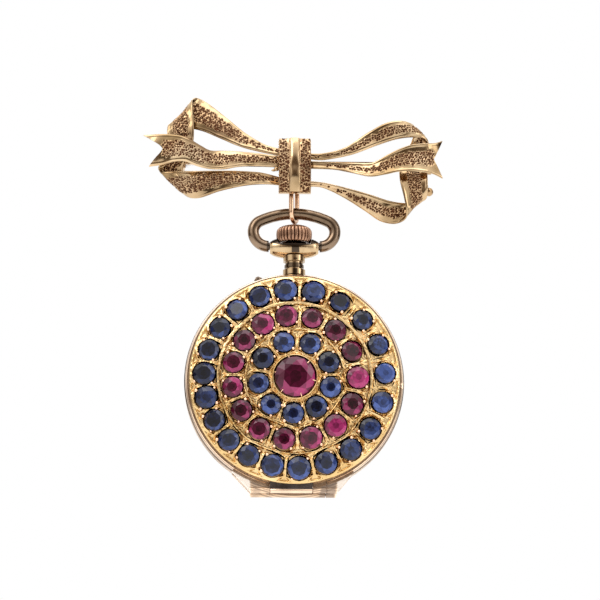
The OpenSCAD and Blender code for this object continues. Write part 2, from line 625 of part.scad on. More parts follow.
module mainplate() color(brass) watch() difference() {
  union() {
    disc(11.72, 2.92, plate_z);
    ring(10.3, 11.1, 2.42, 2.95);
    // post of the minute wheel
    disc(0.2, 2.45, 3.0, minute_at);
  }
  for (p = [third_at, fourth_at, escape_at, balance_at]) disc(pivot_hole, 2, 5, p);
  disc(0.43, 3.3, 5, barrel_at);
  disc(0.4, 2, 5);
  // room for the winding pinion
  translate([0, 8.15, stem_depth]) rotate([-90, 0, 0]) cylinder(r = 1.05, h = 1.3);
  // sink for the barrel
  disc(5.55, 3.7, 5, barrel_at);
  screw_holes(concat(barrel_feet, train_feet, [escape_foot, balance_foot]), 3.2, 5);
}
// bridge cut from a disc to an outline, on round feet
module bridge(outline, feet, foot_r) {
  intersection() {
    disc(11.5, bridge_z1, bridge_z2);
    translate([0, 0, 4]) linear_extrude(height = 2) polygon(outline);
  }
  for (p = feet) disc(foot_r, plate_z, 4.95, p);
}
barrel_outline = [[-12, -4.4], [-9, -4.4], [-1.7, -1.7], [-1.2, 1.8], [1.5, 3.4], [4.6, 5.2],
  [6.5, 12], [-12, 12]];
train_outline = [[-1.4, -1.5], [-1.0, 1.6], [1.7, 3.1], [4.9, 4.9], [6.6, 8.5], [12, 8],
  [12, -3.4], [7.4, -4.6], [2.4, -2.2]];
module barrel_bridge() color(brass) watch() difference() {
  bridge(barrel_outline, barrel_feet, 0.6);
  disc(0.63, 4, 6, barrel_at);
  // opening over the winding pinion
  translate([-1.1, 8.1, 4]) cube([2.2, 1.5, 2]);
  screw_holes(barrel_feet);
}
module train_bridge() color(brass) watch() difference() {
  bridge(train_outline, train_feet, 0.55);
  // clearance round the balance
  disc(3.8, 4, 6, balance_at);
  disc(0.23, 4, 6);
  for (p = [third_at, fourth_at]) disc(0.35, 4, 6, p);
  screw_holes(train_feet);
}
module escape_cock() color(brass) watch() difference() {
  union() {
    translate([0, 0, 4.74]) linear_extrude(height = 0.15) arm2d(escape_at, escape_foot, 0.45);
    disc(0.5, plate_z, 4.8, escape_foot);
  }
  disc(pivot_hole, 4, 5, escape_at);
  screw_holes([escape_foot]);
}
module balance_cock() color(brass) watch() difference() {
  union() {
    translate([0, 0, 5.38]) linear_extrude(height = 0.3) arm2d(balance_at, balance_foot, 0.95);
    disc(0.95, plate_z, 5.5, balance_foot);
  }
  disc(0.35, 4, 6, balance_at);
  screw_holes([balance_foot]);
}
module regulator() color(steel) watch() difference() {
  union() {
    disc(0.7, 5.69, 5.8, balance_at);
    translate([0, 0, 5.69]) linear_extrude(height = 0.11) {
      arm2d(balance_at, balance_at + [-2.6, 1.1], 0.12);
      arm2d(balance_at, balance_at + [1.5, -0.3], 0.16);
    }
  }
  disc(0.4, 5, 6, balance_at);
}
// screw whose head sits on a face at depth z
module screw(p, z) {
  disc(0.45, z + 0.005, z + 0.2, p);
  disc(0.19, 3.25, z + 0.1, p);
}
module movement_screws() color(blued) watch() {
  for (p = concat(barrel_feet, train_feet)) screw(p, bridge_z2);
  screw(escape_foot, 4.89);
  screw(balance_foot, 5.68);
}
module bridge_jewels() color(jewel_red) watch() {
  for (p = [third_at, fourth_at]) at(p) ring(pivot_hole, 0.34, 5.0, 5.32);
  at(balance_at) ring(pivot_hole, 0.34, 5.4, 5.68);
}
module barrel() color(brass) watch() at(barrel_at) difference() {
  union() {
    gear(80, barrel_mod, 3.95, 4.14);
    disc(4.85, 3.95, 4.66);
    disc(0.75, 3.85, 4.72);
  }
  disc(0.43, 3, 5);
}
module slot(length) translate([-length / 2, -0.09, 5.56]) cube([length, 0.18, 0.2]);
module winding_gear(teeth) gear(teeth, winding_mod, 5.33, 5.52);
module ratchet_wheel() color(steel) watch() at(barrel_at) difference() {
  union() {
    rotate([0, 0, 3]) winding_gear(50);
    disc(0.6, 4.74, 5.4);
    disc(0.4, 3.4, 5.4);
    disc(0.8, 5.5, 5.64);
  }
  slot(1.8);
}
module crown_wheel() color(steel) watch() at(crown_wheel_at) difference() {
  union() {
    winding_gear(28);
    disc(0.7, 5.5, 5.64);
  }
  slot(1.6);
}
module centre_wheel() color(brass) watch() {
  wheel(64, centre_mod, 4.72, 4.85);
  gear(10, barrel_mod, 3.9, 4.3);
  disc(0.42, 4.25, 4.75);
  disc(0.37, minute_z, 4.0);
  disc(0.2, 4.8, 5.28);
  // cannon pinion
  gear(cannon_teeth, cannon_mod, 2.64, 2.84);
}
module third_wheel() color(brass) watch() at(third_at) {
  wheel(60, third_mod, 3.95, 4.08);
  rotate([0, 0, 12]) gear(8, centre_mod, 4.6, 4.87);
  disc(0.22, arbor_z1, 4.87);
  pivot(5.3);
}
module fourth_wheel() color(brass) watch() at(fourth_at) {
  wheel(60, fourth_mod, 4.48, 4.6);
  gear(8, third_mod, 3.88, 4.2);
  disc(0.2, arbor_z1, 4.85);
  pivot(5.3);
}
// one escape tooth: radius, angle
escape_tooth = [[1.2, 0], [1.6, 9], [1.25, 13], [1.2, 20]];
module escape_wheel() color(steel) watch() at(escape_at) {
  difference() {
    translate([0, 0, 4.12]) linear_extrude(height = 0.12)
      polygon([for (i = [0 : 14]) each [for (q = escape_tooth) polar(q[0], 24 * i + q[1])]]);
    disc(0.95, 4, 5);
  }
  for (a = [0, 90]) rotate([0, 0, a]) translate([-1.0, -0.1, 4.12]) cube([2.0, 0.2, 0.12]);
  gear(6, fourth_mod, 4.4, 4.7);
  disc(0.16, arbor_z1, 4.72);
  pivot(4.89);
}
module balance_wheel() color(brass) watch() at(balance_at) {
  ring(3.2, 3.6, 4.95, 5.13);
  for (a = [0, 60, 120]) rotate([0, 0, a]) translate([-3.3, -0.12, 4.97]) cube([6.6, 0.24, 0.1]);
  disc(0.45, 4.93, 5.15);
  disc(0.16, arbor_z1, 5.3);
  pivot(5.66);
}
// five turns in 100 steps
function spiral(r0, r1) = [for (i = [0 : 100]) polar(r0 + (r1 - r0) * i / 100, 360 * 5 * i / 100)];
module hairspring() color(blued) watch() translate([balance_at.x, balance_at.y, 5.2]) {
  outer = spiral(0.36, 1.76);
  linear_extrude(height = 0.1)
    polygon(concat(spiral(0.3, 1.7), [for (i = [100 : -1 : 0]) outer[i]]));
  difference() {
    cylinder(r = 0.34, h = 0.1);
    translate([0, 0, -0.1]) cylinder(r = 0.16, h = 0.4);
  }
}

bow_knot();
ribbon_loop_left();
ribbon_loop_right();
ribbon_tail_left();
ribbon_tail_right();
brooch_bar();
pin_hinge_bracket();
pin_hinge_rivet();
pin_stem();
catch_block();
catch_sleeve();
hanger_hook();
bail();
pendant();
crown();
winding_stem();
setting_pin();
case_middle();
rear_hinge_pin();
front_hinge_pin();
back_cover();
centre_ruby();
inner_sapphires();
ruby_ring();
outer_sapphires();
cuvette();
bezel();
crystal();
dial();
hour_hand();
minute_hand();
hour_wheel();
minute_wheel();
mainplate();
barrel_bridge();
train_bridge();
escape_cock();
balance_cock();
regulator();
movement_screws();
bridge_jewels();
barrel();
ratchet_wheel();
crown_wheel();
centre_wheel();
third_wheel();
fourth_wheel();
escape_wheel();
balance_wheel();
hairspring();
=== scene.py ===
"""A gold watch hanging from a ribbon-bow brooch.

Z is up and X is to the right. The back cover, set with stones, faces -Y towards the camera; the
dial faces +Y. The axis of the case is the Y axis. Lengths are millimetres unless said otherwise;
meshes are scaled to metres as they are made.
"""
import bpy, bmesh, math, random
import numpy as np
from mathutils import Vector, Matrix

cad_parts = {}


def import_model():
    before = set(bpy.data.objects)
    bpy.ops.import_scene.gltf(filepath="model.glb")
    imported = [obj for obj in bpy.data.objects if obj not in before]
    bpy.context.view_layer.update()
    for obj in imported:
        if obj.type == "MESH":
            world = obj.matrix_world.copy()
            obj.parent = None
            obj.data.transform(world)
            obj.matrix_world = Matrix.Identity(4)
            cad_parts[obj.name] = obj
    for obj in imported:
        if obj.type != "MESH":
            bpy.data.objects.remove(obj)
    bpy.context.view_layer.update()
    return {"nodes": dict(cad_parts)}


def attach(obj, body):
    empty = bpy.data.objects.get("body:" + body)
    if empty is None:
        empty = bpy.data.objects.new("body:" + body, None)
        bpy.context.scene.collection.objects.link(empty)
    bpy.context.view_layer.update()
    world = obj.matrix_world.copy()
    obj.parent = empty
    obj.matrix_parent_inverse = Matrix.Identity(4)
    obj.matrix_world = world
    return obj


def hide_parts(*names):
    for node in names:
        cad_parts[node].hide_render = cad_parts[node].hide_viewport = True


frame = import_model()
MM = 0.001
TO_MM = 1000.0                 # shader coordinates are metres
BLACK, WHITE = (0, 0, 0), (1, 1, 1)


def grey(value):
    return (value,) * 3


# ---------------------------------------------------------------- shader nodes
class Graph:
    """Short makers for shader nodes. Most return a socket, and take sockets or plain values."""

    def __init__(self, tree):
        self.tree = tree
        tree.nodes.clear()

    def fill(self, node, inputs):
        for key, value in inputs.items():
            if hasattr(value, "links"):
                self.tree.links.new(value, node.inputs[key])
            else:
                node.inputs[key].default_value = value

    def node(self, kind, inputs=None, **settings):
        made = self.tree.nodes.new(kind)
        for name, value in settings.items():
            setattr(made, name, value)
        self.fill(made, inputs or {})
        return made

    def math(self, operation, a, b=None):
        inputs = {0: a} if b is None else {0: a, 1: b}
        return self.node("ShaderNodeMath", inputs, operation=operation).outputs[0]

    def add(self, a, b):
        return self.math("ADD", a, b)

    def sub(self, a, b):
        return self.math("SUBTRACT", a, b)

    def mul(self, a, b):
        return self.math("MULTIPLY", a, b)

    def ramp(self, value, stops):
        """stops: (position, colour)."""
        made = self.node("ShaderNodeValToRGB", {0: value})
        elements = made.color_ramp.elements
        while len(elements) < len(stops):
            elements.new(0.5)
        for i, (position, color) in enumerate(stops):
            elements[i].position = position
            elements[i].color = (*color, 1)
        return made.outputs[0]

    def rise(self, value, start, end):
        return self.ramp(value, [(start, BLACK), (end, WHITE)])

    def fall(self, value, start, end):
        return self.ramp(value, [(start, WHITE), (end, BLACK)])

    def window(self, value, start, end, soft):
        """1 between start and end, fading over soft, 0 outside."""
        smooth = dict(interpolation_type="SMOOTHSTEP")
        up = self.node("ShaderNodeMapRange", {
            "Value": value, "From Min": start - soft, "From Max": start + soft}, **smooth)
        down = self.node("ShaderNodeMapRange", {
            "Value": value, "From Min": end - soft, "From Max": end + soft,
            "To Min": 1.0, "To Max": 0.0}, **smooth)
        return self.mul(up.outputs[0], down.outputs[0])

    def noise(self, vector, scale, detail=4.0, rough=0.55, distort=0.0):
        return self.node("ShaderNodeTexNoise", {
            "Scale": scale, "Detail": detail, "Roughness": rough, "Distortion": distort,
            "Vector": vector}).outputs["Fac"]

    def wobble(self, vector, amount, **noise):
        """Noise about zero."""
        return self.mul(self.sub(self.noise(vector, **noise), 0.5), amount)

    def mix(self, factor, a, b, blend="MIX"):
        a, b = (c if hasattr(c, "links") else (*c, 1) for c in (a, b))
        return self.node("ShaderNodeMix", {0: factor, 6: a, 7: b},
                         data_type="RGBA", blend_type=blend).outputs[2]

    def coords(self):
        return self.node("ShaderNodeTexCoord").outputs["Object"]

    def split(self, vector):
        return self.node("ShaderNodeSeparateXYZ", {0: vector}).outputs

    def attribute(self, name, output="Fac"):
        return self.node("ShaderNodeAttribute", attribute_name=name).outputs[output]

    def hollows(self, reach, deep, shallow):
        """1 where occlusion within reach (mm) is deep, 0 in the open."""
        found = self.node("ShaderNodeAmbientOcclusion", {"Distance": reach * MM}, samples=6)
        return self.fall(found.outputs["AO"], deep, shallow)

    def bump(self, height, strength, depth):
        return self.node("ShaderNodeBump", {
            "Strength": strength, "Distance": depth * MM, "Height": height}).outputs[0]


looks = {}                     # materials by name


class Material(Graph):
    """A new material with a Principled surface."""

    def __init__(self, name):
        material = bpy.data.materials.new(name)
        material.use_nodes = True
        super().__init__(material.node_tree)
        self.output = self.node("ShaderNodeOutputMaterial")
        self.surface = self.node("ShaderNodeBsdfPrincipled")
        self.fill(self.output, {0: self.surface.outputs[0]})
        looks[name] = material

    def paint(self, **inputs):
        """Principled inputs, with underscores for spaces."""
        self.fill(self.surface, {k.replace("_", " "): v for k, v in inputs.items()})

    def current(self, key):
        return self.surface.inputs[key].links[0].from_socket


# ---------------------------------------------------------------- metals
def metal(name, light, dark, rough, tarnish, tarnish_and_shade_tone, scale=700.0, hollows=True):
    """Worn metal: two tones, tarnish spots, painted shade in the hollows, fine scratches and
    dents.
    """
    g = Material(name)
    co = g.coords()
    fine = g.noise(co, scale=scale, detail=5, rough=0.6)
    broad = g.noise(co, scale=scale * 0.25, detail=3, rough=0.5, distort=0.4)
    color = g.mix(g.rise(broad, 0.35, 0.65), dark, light)
    spots = g.rise(fine, 0.52, 0.78)
    color = g.mix(g.mul(spots, tarnish), color, tarnish_and_shade_tone)
    # painted shade: darker towards the tarnish tone where occlusion finds hollows
    if hollows:
        deep = g.hollows(reach=0.7, deep=0.35, shallow=0.85)
        color = g.mix(g.mul(deep, 0.75), color, tarnish_and_shade_tone)
    roughness = g.ramp(fine, [(0.3, grey(rough[0])), (0.75, grey(rough[1]))])
    scratches = g.node("ShaderNodeTexWave", {
        "Scale": scale * 4, "Distortion": 14, "Detail": 3, "Detail Scale": 0.4, "Vector": co},
        wave_type="BANDS", bands_direction="DIAGONAL").outputs["Fac"]
    height = g.add(g.mul(scratches, 0.25), g.noise(co, scale=scale * 1.6, detail=4, rough=0.6))
    g.paint(Base_Color=color, Metallic=1.0, Roughness=roughness,
            Normal=g.bump(height, strength=0.25, depth=0.02))
    return g


def tarnish_pendant(g):
    """Painted shadow under the crown, painted shade in the waist of the neck and a painted dark
    reflection on the middle of the saddle.
    """
    color = g.current("Base Color")
    co = g.coords()
    x, _, z = g.split(co)
    wave = g.wobble(co, 0.16, scale=900, detail=3)
    x = g.add(g.mul(x, TO_MM), wave)
    z = g.add(g.mul(z, TO_MM), wave)
    bowl = g.sub(z, g.mul(g.math("POWER", g.math("ABSOLUTE", x), 2.0), 0.06))

    def patch(x_span, z_span, x_soft, z_soft):
        return g.mul(g.window(x, *x_span, soft=x_soft), g.window(z, *z_span, soft=z_soft))

    shade_marks = [                  # where, strength
        (g.window(bowl, 16.98, 19.0, soft=0.03), 0.96),
        (patch((-0.36, 0.62), (16.2, 16.98), 0.05, 0.06), 0.93),
        (g.window(z, 14.36, 14.98, soft=0.05), 0.80),
        (patch((-0.20, 0.36), (13.5, 14.2), 0.05, 0.05), 0.90),
        (patch((-0.12, 0.36), (15.3, 15.5), 0.05, 0.05), 0.85)]
    # near-black painted shadow, painted shade and painted dark reflection
    for place, strength in shade_marks:
        color = g.mix(g.mul(place, strength), color, (0.035, 0.026, 0.022))
    g.paint(Base_Color=color)


BAND_SPAN = 8                  # depth covered by the ramps round the case band
LUG_SPAN = 20                  # radius covered by the ramps on the hinge lugs
# centre, half width
BAND_LINES = ((1.12, 0.03), (1.98, 0.045), (2.72, 0.02), (3.42, 0.03), (5.14, 0.05),
              (5.60, 0.05), (5.98, 0.03))            # by depth
LUG_SEAMS = ((13.66, 0.13), (13.98, 0.03), (14.24, 0.04))  # by radius


def line_stops(lines, span, soft):
    """Ramp stops that are white on each line and black between."""
    stops = [(0.0, BLACK)]
    for at, half in lines:
        stops += [((at - half - soft) / span, BLACK), ((at - half) / span, WHITE),
                  ((at + half) / span, WHITE), ((at + half + soft) / span, BLACK)]
    return stops


def line_case(g):
    """Dark seams and a greyer strip round the case band, by depth; hinge lugs painted paler as a
    painted highlight.
    """
    color, roughness = g.current("Base Color"), g.current("Roughness")
    co = g.coords()
    x, y, z = g.split(co)
    depth = g.mul(y, -TO_MM)
    depth = g.mul(g.add(depth, g.wobble(co, 0.10, scale=90, detail=2)), 1 / BAND_SPAN)
    lines = g.ramp(depth, line_stops(BAND_LINES, BAND_SPAN, soft=0.05))
    strip = g.ramp(depth, [(at / BAND_SPAN, tone) for at, tone in (
        (0.0, BLACK), (5.12, BLACK), (5.24, WHITE), (5.56, WHITE), (5.68, BLACK), (6.0, BLACK))])
    color = g.mix(g.mul(strip, 0.75), color, (0.36, 0.37, 0.40))
    color = g.mix(g.mul(lines, 0.80), color, (0.075, 0.052, 0.042))

    # the hinge lugs, outside the turned band, are painted paler, a painted highlight
    square = g.add(g.math("POWER", x, 2.0), g.math("POWER", z, 2.0))

    def radius():
        return g.mul(g.math("SQRT", square), TO_MM / LUG_SPAN)

    outside = g.rise(radius(), 13.504 / LUG_SPAN, 13.58 / LUG_SPAN)
    low = g.rise(g.mul(z, -TO_MM / LUG_SPAN), 10.0 / LUG_SPAN, 10.4 / LUG_SPAN)
    lug = g.mul(outside, low)
    seams = g.mul(g.ramp(radius(), line_stops(LUG_SEAMS, LUG_SPAN, soft=0.03)), lug)
    color = g.mix(g.mul(lug, 0.8), color, g.mix(g.noise(co, scale=700, detail=4),
                                                (0.62, 0.44, 0.30), (0.95, 0.74, 0.54)))
    color = g.mix(g.mul(seams, 0.75), color, (0.13, 0.085, 0.06))
    # the sides of the knuckles are painted darker, the right one most
    x = g.add(g.mul(x, TO_MM), g.wobble(co, 0.5, scale=500, detail=3))
    dark_sides = g.add(g.mul(g.window(x, 3.2, 5.0, soft=0.15), 0.72),
                 g.mul(g.window(x, -5.1, -4.2, soft=0.2), 0.35))
    color = g.mix(g.mul(dark_sides, lug), color, (0.24, 0.185, 0.155))
    # their tapering ends get a near-white painted highlight
    tip_highlight = g.add(g.window(x, 5.15, 9.0, soft=0.12), g.window(x, -9.0, -5.3, soft=0.12))
    color = g.mix(g.mul(g.mul(tip_highlight, lug), 0.88), color, (1.0, 0.93, 0.86))
    g.paint(Base_Color=color, Roughness=g.mix(lug, roughness, grey(0.52)))


def wear_bow(g):
    """A painted highlight on the lower part, and painted shade on the ends beside the pendant."""
    color = g.current("Base Color")
    co = g.coords()
    x, _, z = g.split(co)
    # painted highlight: paler towards the bottom
    height = g.add(g.mul(z, TO_MM / 25), g.mul(g.noise(co, scale=260, detail=3), 0.12))
    color = g.mix(g.mul(g.fall(height, 0.70, 0.88), 0.42), color, (0.46, 0.33, 0.235))
    # painted shade on the ends beside the pendant
    x = g.math("ABSOLUTE", g.mul(x, TO_MM))
    ends = g.mul(g.window(x, 2.5, 3.42, soft=0.06), g.window(z, 0.0160, 0.0181, soft=0.0001))
    g.paint(Base_Color=g.mix(g.mul(ends, 0.85), color, (0.04, 0.03, 0.025)))


metal("gold_polished", light=(0.62, 0.44, 0.26), dark=(0.38, 0.245, 0.125),
      rough=(0.12, 0.26), tarnish=0.35, tarnish_and_shade_tone=(0.10, 0.05, 0.025))
tarnish_pendant(metal("gold_pendant", light=(0.66, 0.49, 0.30), dark=(0.42, 0.29, 0.16),
                      rough=(0.07, 0.18), tarnish=0.40, tarnish_and_shade_tone=(0.08, 0.045, 0.025)))
line_case(metal("gold_case", light=(1.0, 0.77, 0.55), dark=(0.82, 0.60, 0.44),
                rough=(0.14, 0.30), tarnish=0.33, tarnish_and_shade_tone=(0.18, 0.12, 0.09)))
metal("gold_cover", light=(0.86, 0.63, 0.33), dark=(0.62, 0.41, 0.17),
      rough=(0.11, 0.24), tarnish=0.28, tarnish_and_shade_tone=(0.20, 0.082, 0.022))
metal("rose_gold", light=(0.44, 0.26, 0.168), dark=(0.225, 0.118, 0.074),
      rough=(0.16, 0.34), tarnish=0.55, tarnish_and_shade_tone=(0.08, 0.035, 0.025))
metal("hook_gold", light=(0.86, 0.60, 0.40), dark=(0.58, 0.34, 0.22),
      rough=(0.10, 0.24), tarnish=0.35, tarnish_and_shade_tone=(0.16, 0.07, 0.04))
wear_bow(metal("bow_antique", light=(0.25, 0.172, 0.112), dark=(0.062, 0.042, 0.028),
               rough=(0.10, 0.26), tarnish=0.7, tarnish_and_shade_tone=(0.032, 0.020, 0.014), scale=420))
metal("hinge_pale", light=(0.95, 0.72, 0.53), dark=(0.66, 0.47, 0.35),
      rough=(0.16, 0.34), tarnish=0.4, tarnish_and_shade_tone=(0.13, 0.085, 0.06))
metal("hinge_leaf_grey", light=(0.30, 0.28, 0.28), dark=(0.12, 0.11, 0.11),
      rough=(0.16, 0.3), tarnish=0.4, tarnish_and_shade_tone=(0.05, 0.04, 0.035))
metal("grain_beads", light=(1.0, 0.72, 0.50), dark=(0.94, 0.60, 0.40),
      rough=(0.08, 0.16), tarnish=0.1, tarnish_and_shade_tone=(0.20, 0.09, 0.04), hollows=False)
metal("steel_bright", light=(0.66, 0.66, 0.68), dark=(0.42, 0.43, 0.45),
      rough=(0.18, 0.34), tarnish=0.3, tarnish_and_shade_tone=(0.12, 0.10, 0.09))
metal("gilt_frosted", light=(0.88, 0.70, 0.36), dark=(0.74, 0.55, 0.26),
      rough=(0.30, 0.45), tarnish=0.12, tarnish_and_shade_tone=(0.35, 0.22, 0.08), scale=1800)
metal("steel_blued", light=(0.06, 0.10, 0.42), dark=(0.03, 0.05, 0.22),
      rough=(0.12, 0.2), tarnish=0.1, tarnish_and_shade_tone=(0.02, 0.02, 0.08))


def ribbon_gold():
    """Polished borders and a punched middle with coppery pits darkened by painted shade.

    Attribute pit is the depth of a pit, zn is 1 in the punched zone.
    """
    g = Material("gold_ribbon")
    pit = g.attribute("pit")
    co = g.coords()
    fine = g.noise(co, scale=900, detail=5, rough=0.6)
    broad = g.noise(co, scale=220, detail=3, rough=0.5)
    color = g.mix(g.rise(broad, 0.35, 0.65), (0.30, 0.20, 0.10), (0.62, 0.445, 0.265))
    zone = g.attribute("zn")
    grain = g.ramp(g.noise(co, scale=2600, detail=3, rough=0.6),
                   [(0.40, (0.20, 0.095, 0.045)), (0.62, (0.66, 0.44, 0.25))])
    color = g.mix(g.mul(zone, 0.60), color, grain)
    # broad darker patches and brighter patches, from large noise
    dark_patches = g.rise(g.noise(co, scale=130, detail=3, rough=0.55, distort=0.3), 0.53, 0.68)
    color = g.mix(g.mul(dark_patches, 0.62), color, (0.13, 0.070, 0.038))
    bright_patches = g.fall(g.noise(co, scale=170, detail=2, rough=0.5, distort=0.2), 0.30, 0.44)
    color = g.mix(g.mul(bright_patches, 0.45), color, (0.88, 0.68, 0.44))
    # painted shade in the pits, over their coppery colour
    pits = g.rise(pit, 0.10, 0.55)
    dark = g.mix(fine, (0.025, 0.008, 0.004), (0.15, 0.055, 0.025))
    color = g.mix(g.mul(pits, 0.95), color, dark)
    # painted shade in the recesses and the loops' insides, found by ambient occlusion
    deep = g.hollows(reach=0.5, deep=0.3, shallow=0.8)
    color = g.mix(g.mul(deep, 0.6), color, (0.16, 0.06, 0.03))
    roughness = g.mix(pits, grey(0.13), grey(0.42))
    height = g.add(g.noise(co, scale=1500, detail=4, rough=0.6),
                   g.mul(g.noise(co, scale=5000, detail=2), 0.3))
    g.paint(Base_Color=color, Metallic=1.0, Roughness=roughness,
            Normal=g.bump(height, strength=0.2, depth=0.02))


# ---------------------------------------------------------------- stones, glass, enamel and ink
def gem(name, deep, body, bright):
    """Stone over dark gold, with painted light. Attribute gem holds facet shade (painted light and
    reflections), distance from centre and tone.
    """
    g = Material(name)
    facet = g.attribute("gem", "Color")
    shade, radius, tone = g.node("ShaderNodeSeparateColor", {0: facet}).outputs
    co = g.coords()
    cloud = g.noise(co, scale=1400, detail=4, rough=0.6, distort=0.6)
    # painted light and reflections from the facet shades
    light = g.add(g.mul(shade, 0.85), g.mul(cloud, 0.22))
    light = g.add(light, g.sub(g.mul(tone, 0.8), 0.40))
    color = g.ramp(light, [(0.10, deep), (0.48, body), (0.98, bright)])
    # painted shade: a darker heart, brighter towards the girdle
    heart = g.ramp(radius, [(0.15, grey(0.45)), (0.5, grey(0.85)), (0.9, grey(1.15))])
    color = g.mix(1.0, color, heart, "MULTIPLY")
    height = g.noise(co, scale=2500, detail=2, rough=0.5)
    # a faint painted glow in the stone's own colour
    g.paint(Base_Color=color, Metallic=0.0, Roughness=0.06, IOR=1.52, Specular_IOR_Level=0.38,
            Emission_Color=color, Emission_Strength=0.12,
            Normal=g.bump(height, strength=0.08, depth=0.01))


def glass():
    """Clear glass that lets shadow rays straight through."""
    g = Material("watch_glass")
    haze = g.noise(g.coords(), scale=900, detail=5, rough=0.7)
    g.paint(Base_Color=(0.97, 0.99, 1, 1), Transmission_Weight=1.0, IOR=1.46,
            Roughness=g.ramp(haze, [(0.45, grey(0.0)), (0.8, grey(0.06))]))
    clear = g.node("ShaderNodeBsdfTransparent").outputs[0]
    is_shadow = g.node("ShaderNodeLightPath").outputs["Is Shadow Ray"]
    mixed = g.node("ShaderNodeMixShader", {0: is_shadow, 1: g.surface.outputs[0], 2: clear})
    g.fill(g.output, {0: mixed.outputs[0]})


def enamel():
    """Off-white enamel with faint cracks."""
    g = Material("dial_enamel")
    co = g.coords()
    color = g.mix(g.noise(co, scale=300, detail=4, rough=0.6),
                  (0.93, 0.91, 0.86), (0.86, 0.83, 0.76))
    cells = g.node("ShaderNodeTexVoronoi", {"Scale": 160, "Vector": co},
                   feature="DISTANCE_TO_EDGE")
    cracks = g.fall(cells.outputs["Distance"], 0.0, 0.006)
    color = g.mix(g.mul(cracks, 0.10), color, (0.45, 0.40, 0.33))
    height = g.noise(co, scale=500, detail=3)
    g.paint(Base_Color=color, Roughness=0.14, Coat_Weight=0.6,
            Normal=g.bump(height, strength=0.05, depth=0.02))


def ink():
    g = Material("dial_ink")
    mottle = g.noise(g.coords(), scale=900, detail=3)
    g.paint(Base_Color=g.mix(mottle, (0.012, 0.012, 0.016), (0.04, 0.035, 0.035)), Roughness=0.3)


ribbon_gold()
gem("stone_red", deep=(0.020, 0.0008, 0.005), body=(0.072, 0.003, 0.021),
    bright=(0.33, 0.028, 0.125))
gem("stone_blue", deep=(0.003, 0.004, 0.011), body=(0.008, 0.014, 0.055),
    bright=(0.048, 0.085, 0.27))
glass()
enamel()
ink()


# ---------------------------------------------------------------- objects
def assign(obj, look):
    obj.data.materials.clear()
    obj.data.materials.append(looks[look])


def smooth(obj, angle):
    mesh = obj.data
    mesh.polygons.foreach_set("use_smooth", [True] * len(mesh.polygons))
    mesh.set_sharp_from_angle(angle=math.radians(angle))


def add_object(name, data):
    obj = bpy.data.objects.new(name, data)
    bpy.context.scene.collection.objects.link(obj)
    return obj


def new_mesh(name, verts, faces, look, body, angle=35):
    mesh = bpy.data.meshes.new(name)
    mesh.from_pydata([tuple(v) for v in np.asarray(verts, float) * MM], [], faces)
    mesh.validate()
    obj = add_object(name, mesh)
    assign(obj, look)
    smooth(obj, angle)
    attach(obj, body)
    return obj


def join_mesh(name, parts, look, body, angle=35):
    """One mesh from parts, each (verts, faces)."""
    verts, faces = [], []
    for part_verts, part_faces in parts:
        faces += [[len(verts) + i for i in face] for face in part_faces]
        verts += list(part_verts)
    return new_mesh(name, verts, faces, look, body, angle)


def face_outwards(obj):
    bm = bmesh.new()
    bm.from_mesh(obj.data)
    bmesh.ops.recalc_face_normals(bm, faces=bm.faces)
    bm.to_mesh(obj.data)
    bm.free()


def point_attribute(obj, name, values):
    made = obj.data.attributes.new(name, "FLOAT", "POINT")
    made.data.foreach_set("value", values.astype(np.float32))


# ---------------------------------------------------------------- mesh parts
def angles(count):
    return [2 * math.pi * i / count for i in range(count)]


def bands(rings, count, first=0, wrap=False, flip=False):
    """Quads between neighbouring rings of count points; wrap joins the last ring to the first."""
    faces = []
    for k in range(rings if wrap else rings - 1):
        low, high = first + k * count, first + (k + 1) % rings * count
        for i in range(count):
            j = (i + 1) % count
            face = [low + i, low + j, high + j, high + i]
            faces.append([face[0], *face[:0:-1]] if flip else face)
    return faces


def fan(tip, first, count, flip=False):
    """Triangles from a tip to a ring."""
    pairs = [(first + i, first + (i + 1) % count) for i in range(count)]
    return [[tip, b, a] if flip else [tip, a, b] for a, b in pairs]


def closed_sheet(rows, columns, back_order, interleave):
    """Faces of a front grid and a back grid, joined round all four edges.

    back_order is the corner order of the back quads; interleave alternates opposite edges.
    """
    grid = np.arange(rows * columns).reshape(rows, columns)
    quads = np.stack([grid[:-1, :-1], grid[:-1, 1:], grid[1:, 1:], grid[1:, :-1]], -1)
    quads = quads.reshape(-1, 4)
    back = rows * columns
    faces = quads.tolist() + (quads[:, back_order] + back).tolist()

    def edge(points, flip):
        points = points.tolist()
        walls = [[a, b, b + back, a + back] for a, b in zip(points, points[1:])]
        return [wall[::-1] for wall in walls] if flip else walls

    for one, other in ((edge(grid[:, 0], False), edge(grid[:, -1], True)),
                       (edge(grid[0], True), edge(grid[-1], False))):
        faces += [wall for pair in zip(one, other) for wall in pair] if interleave else one + other
    return faces


def bar_x(x0, x1, y, z, radius, bore, count=40, bevel=0.06):
    """Round bar along X with bevelled ends, bored but open inside."""
    profile = [(x0, bore), (x0, radius - bevel), (x0 + bevel * 0.4, radius - bevel * 0.35),
               (x0 + bevel, radius), (x1 - bevel, radius),
               (x1 - bevel * 0.4, radius - bevel * 0.35), (x1, radius - bevel), (x1, bore)]
    verts = [(px, y + r * math.cos(a), z + r * math.sin(a))
             for px, r in profile for a in angles(count)]
    return verts, bands(len(profile), count)


def box(low, high):
    x0, y0, z0 = low
    x1, y1, z1 = high
    verts = [(x0, y0, z0), (x1, y0, z0), (x1, y1, z0), (x0, y1, z0),
             (x0, y0, z1), (x1, y0, z1), (x1, y1, z1), (x0, y1, z1)]
    return verts, [[0, 3, 2, 1], [4, 5, 6, 7], [0, 1, 5, 4], [1, 2, 6, 5], [2, 3, 7, 6],
                   [3, 0, 4, 7]]


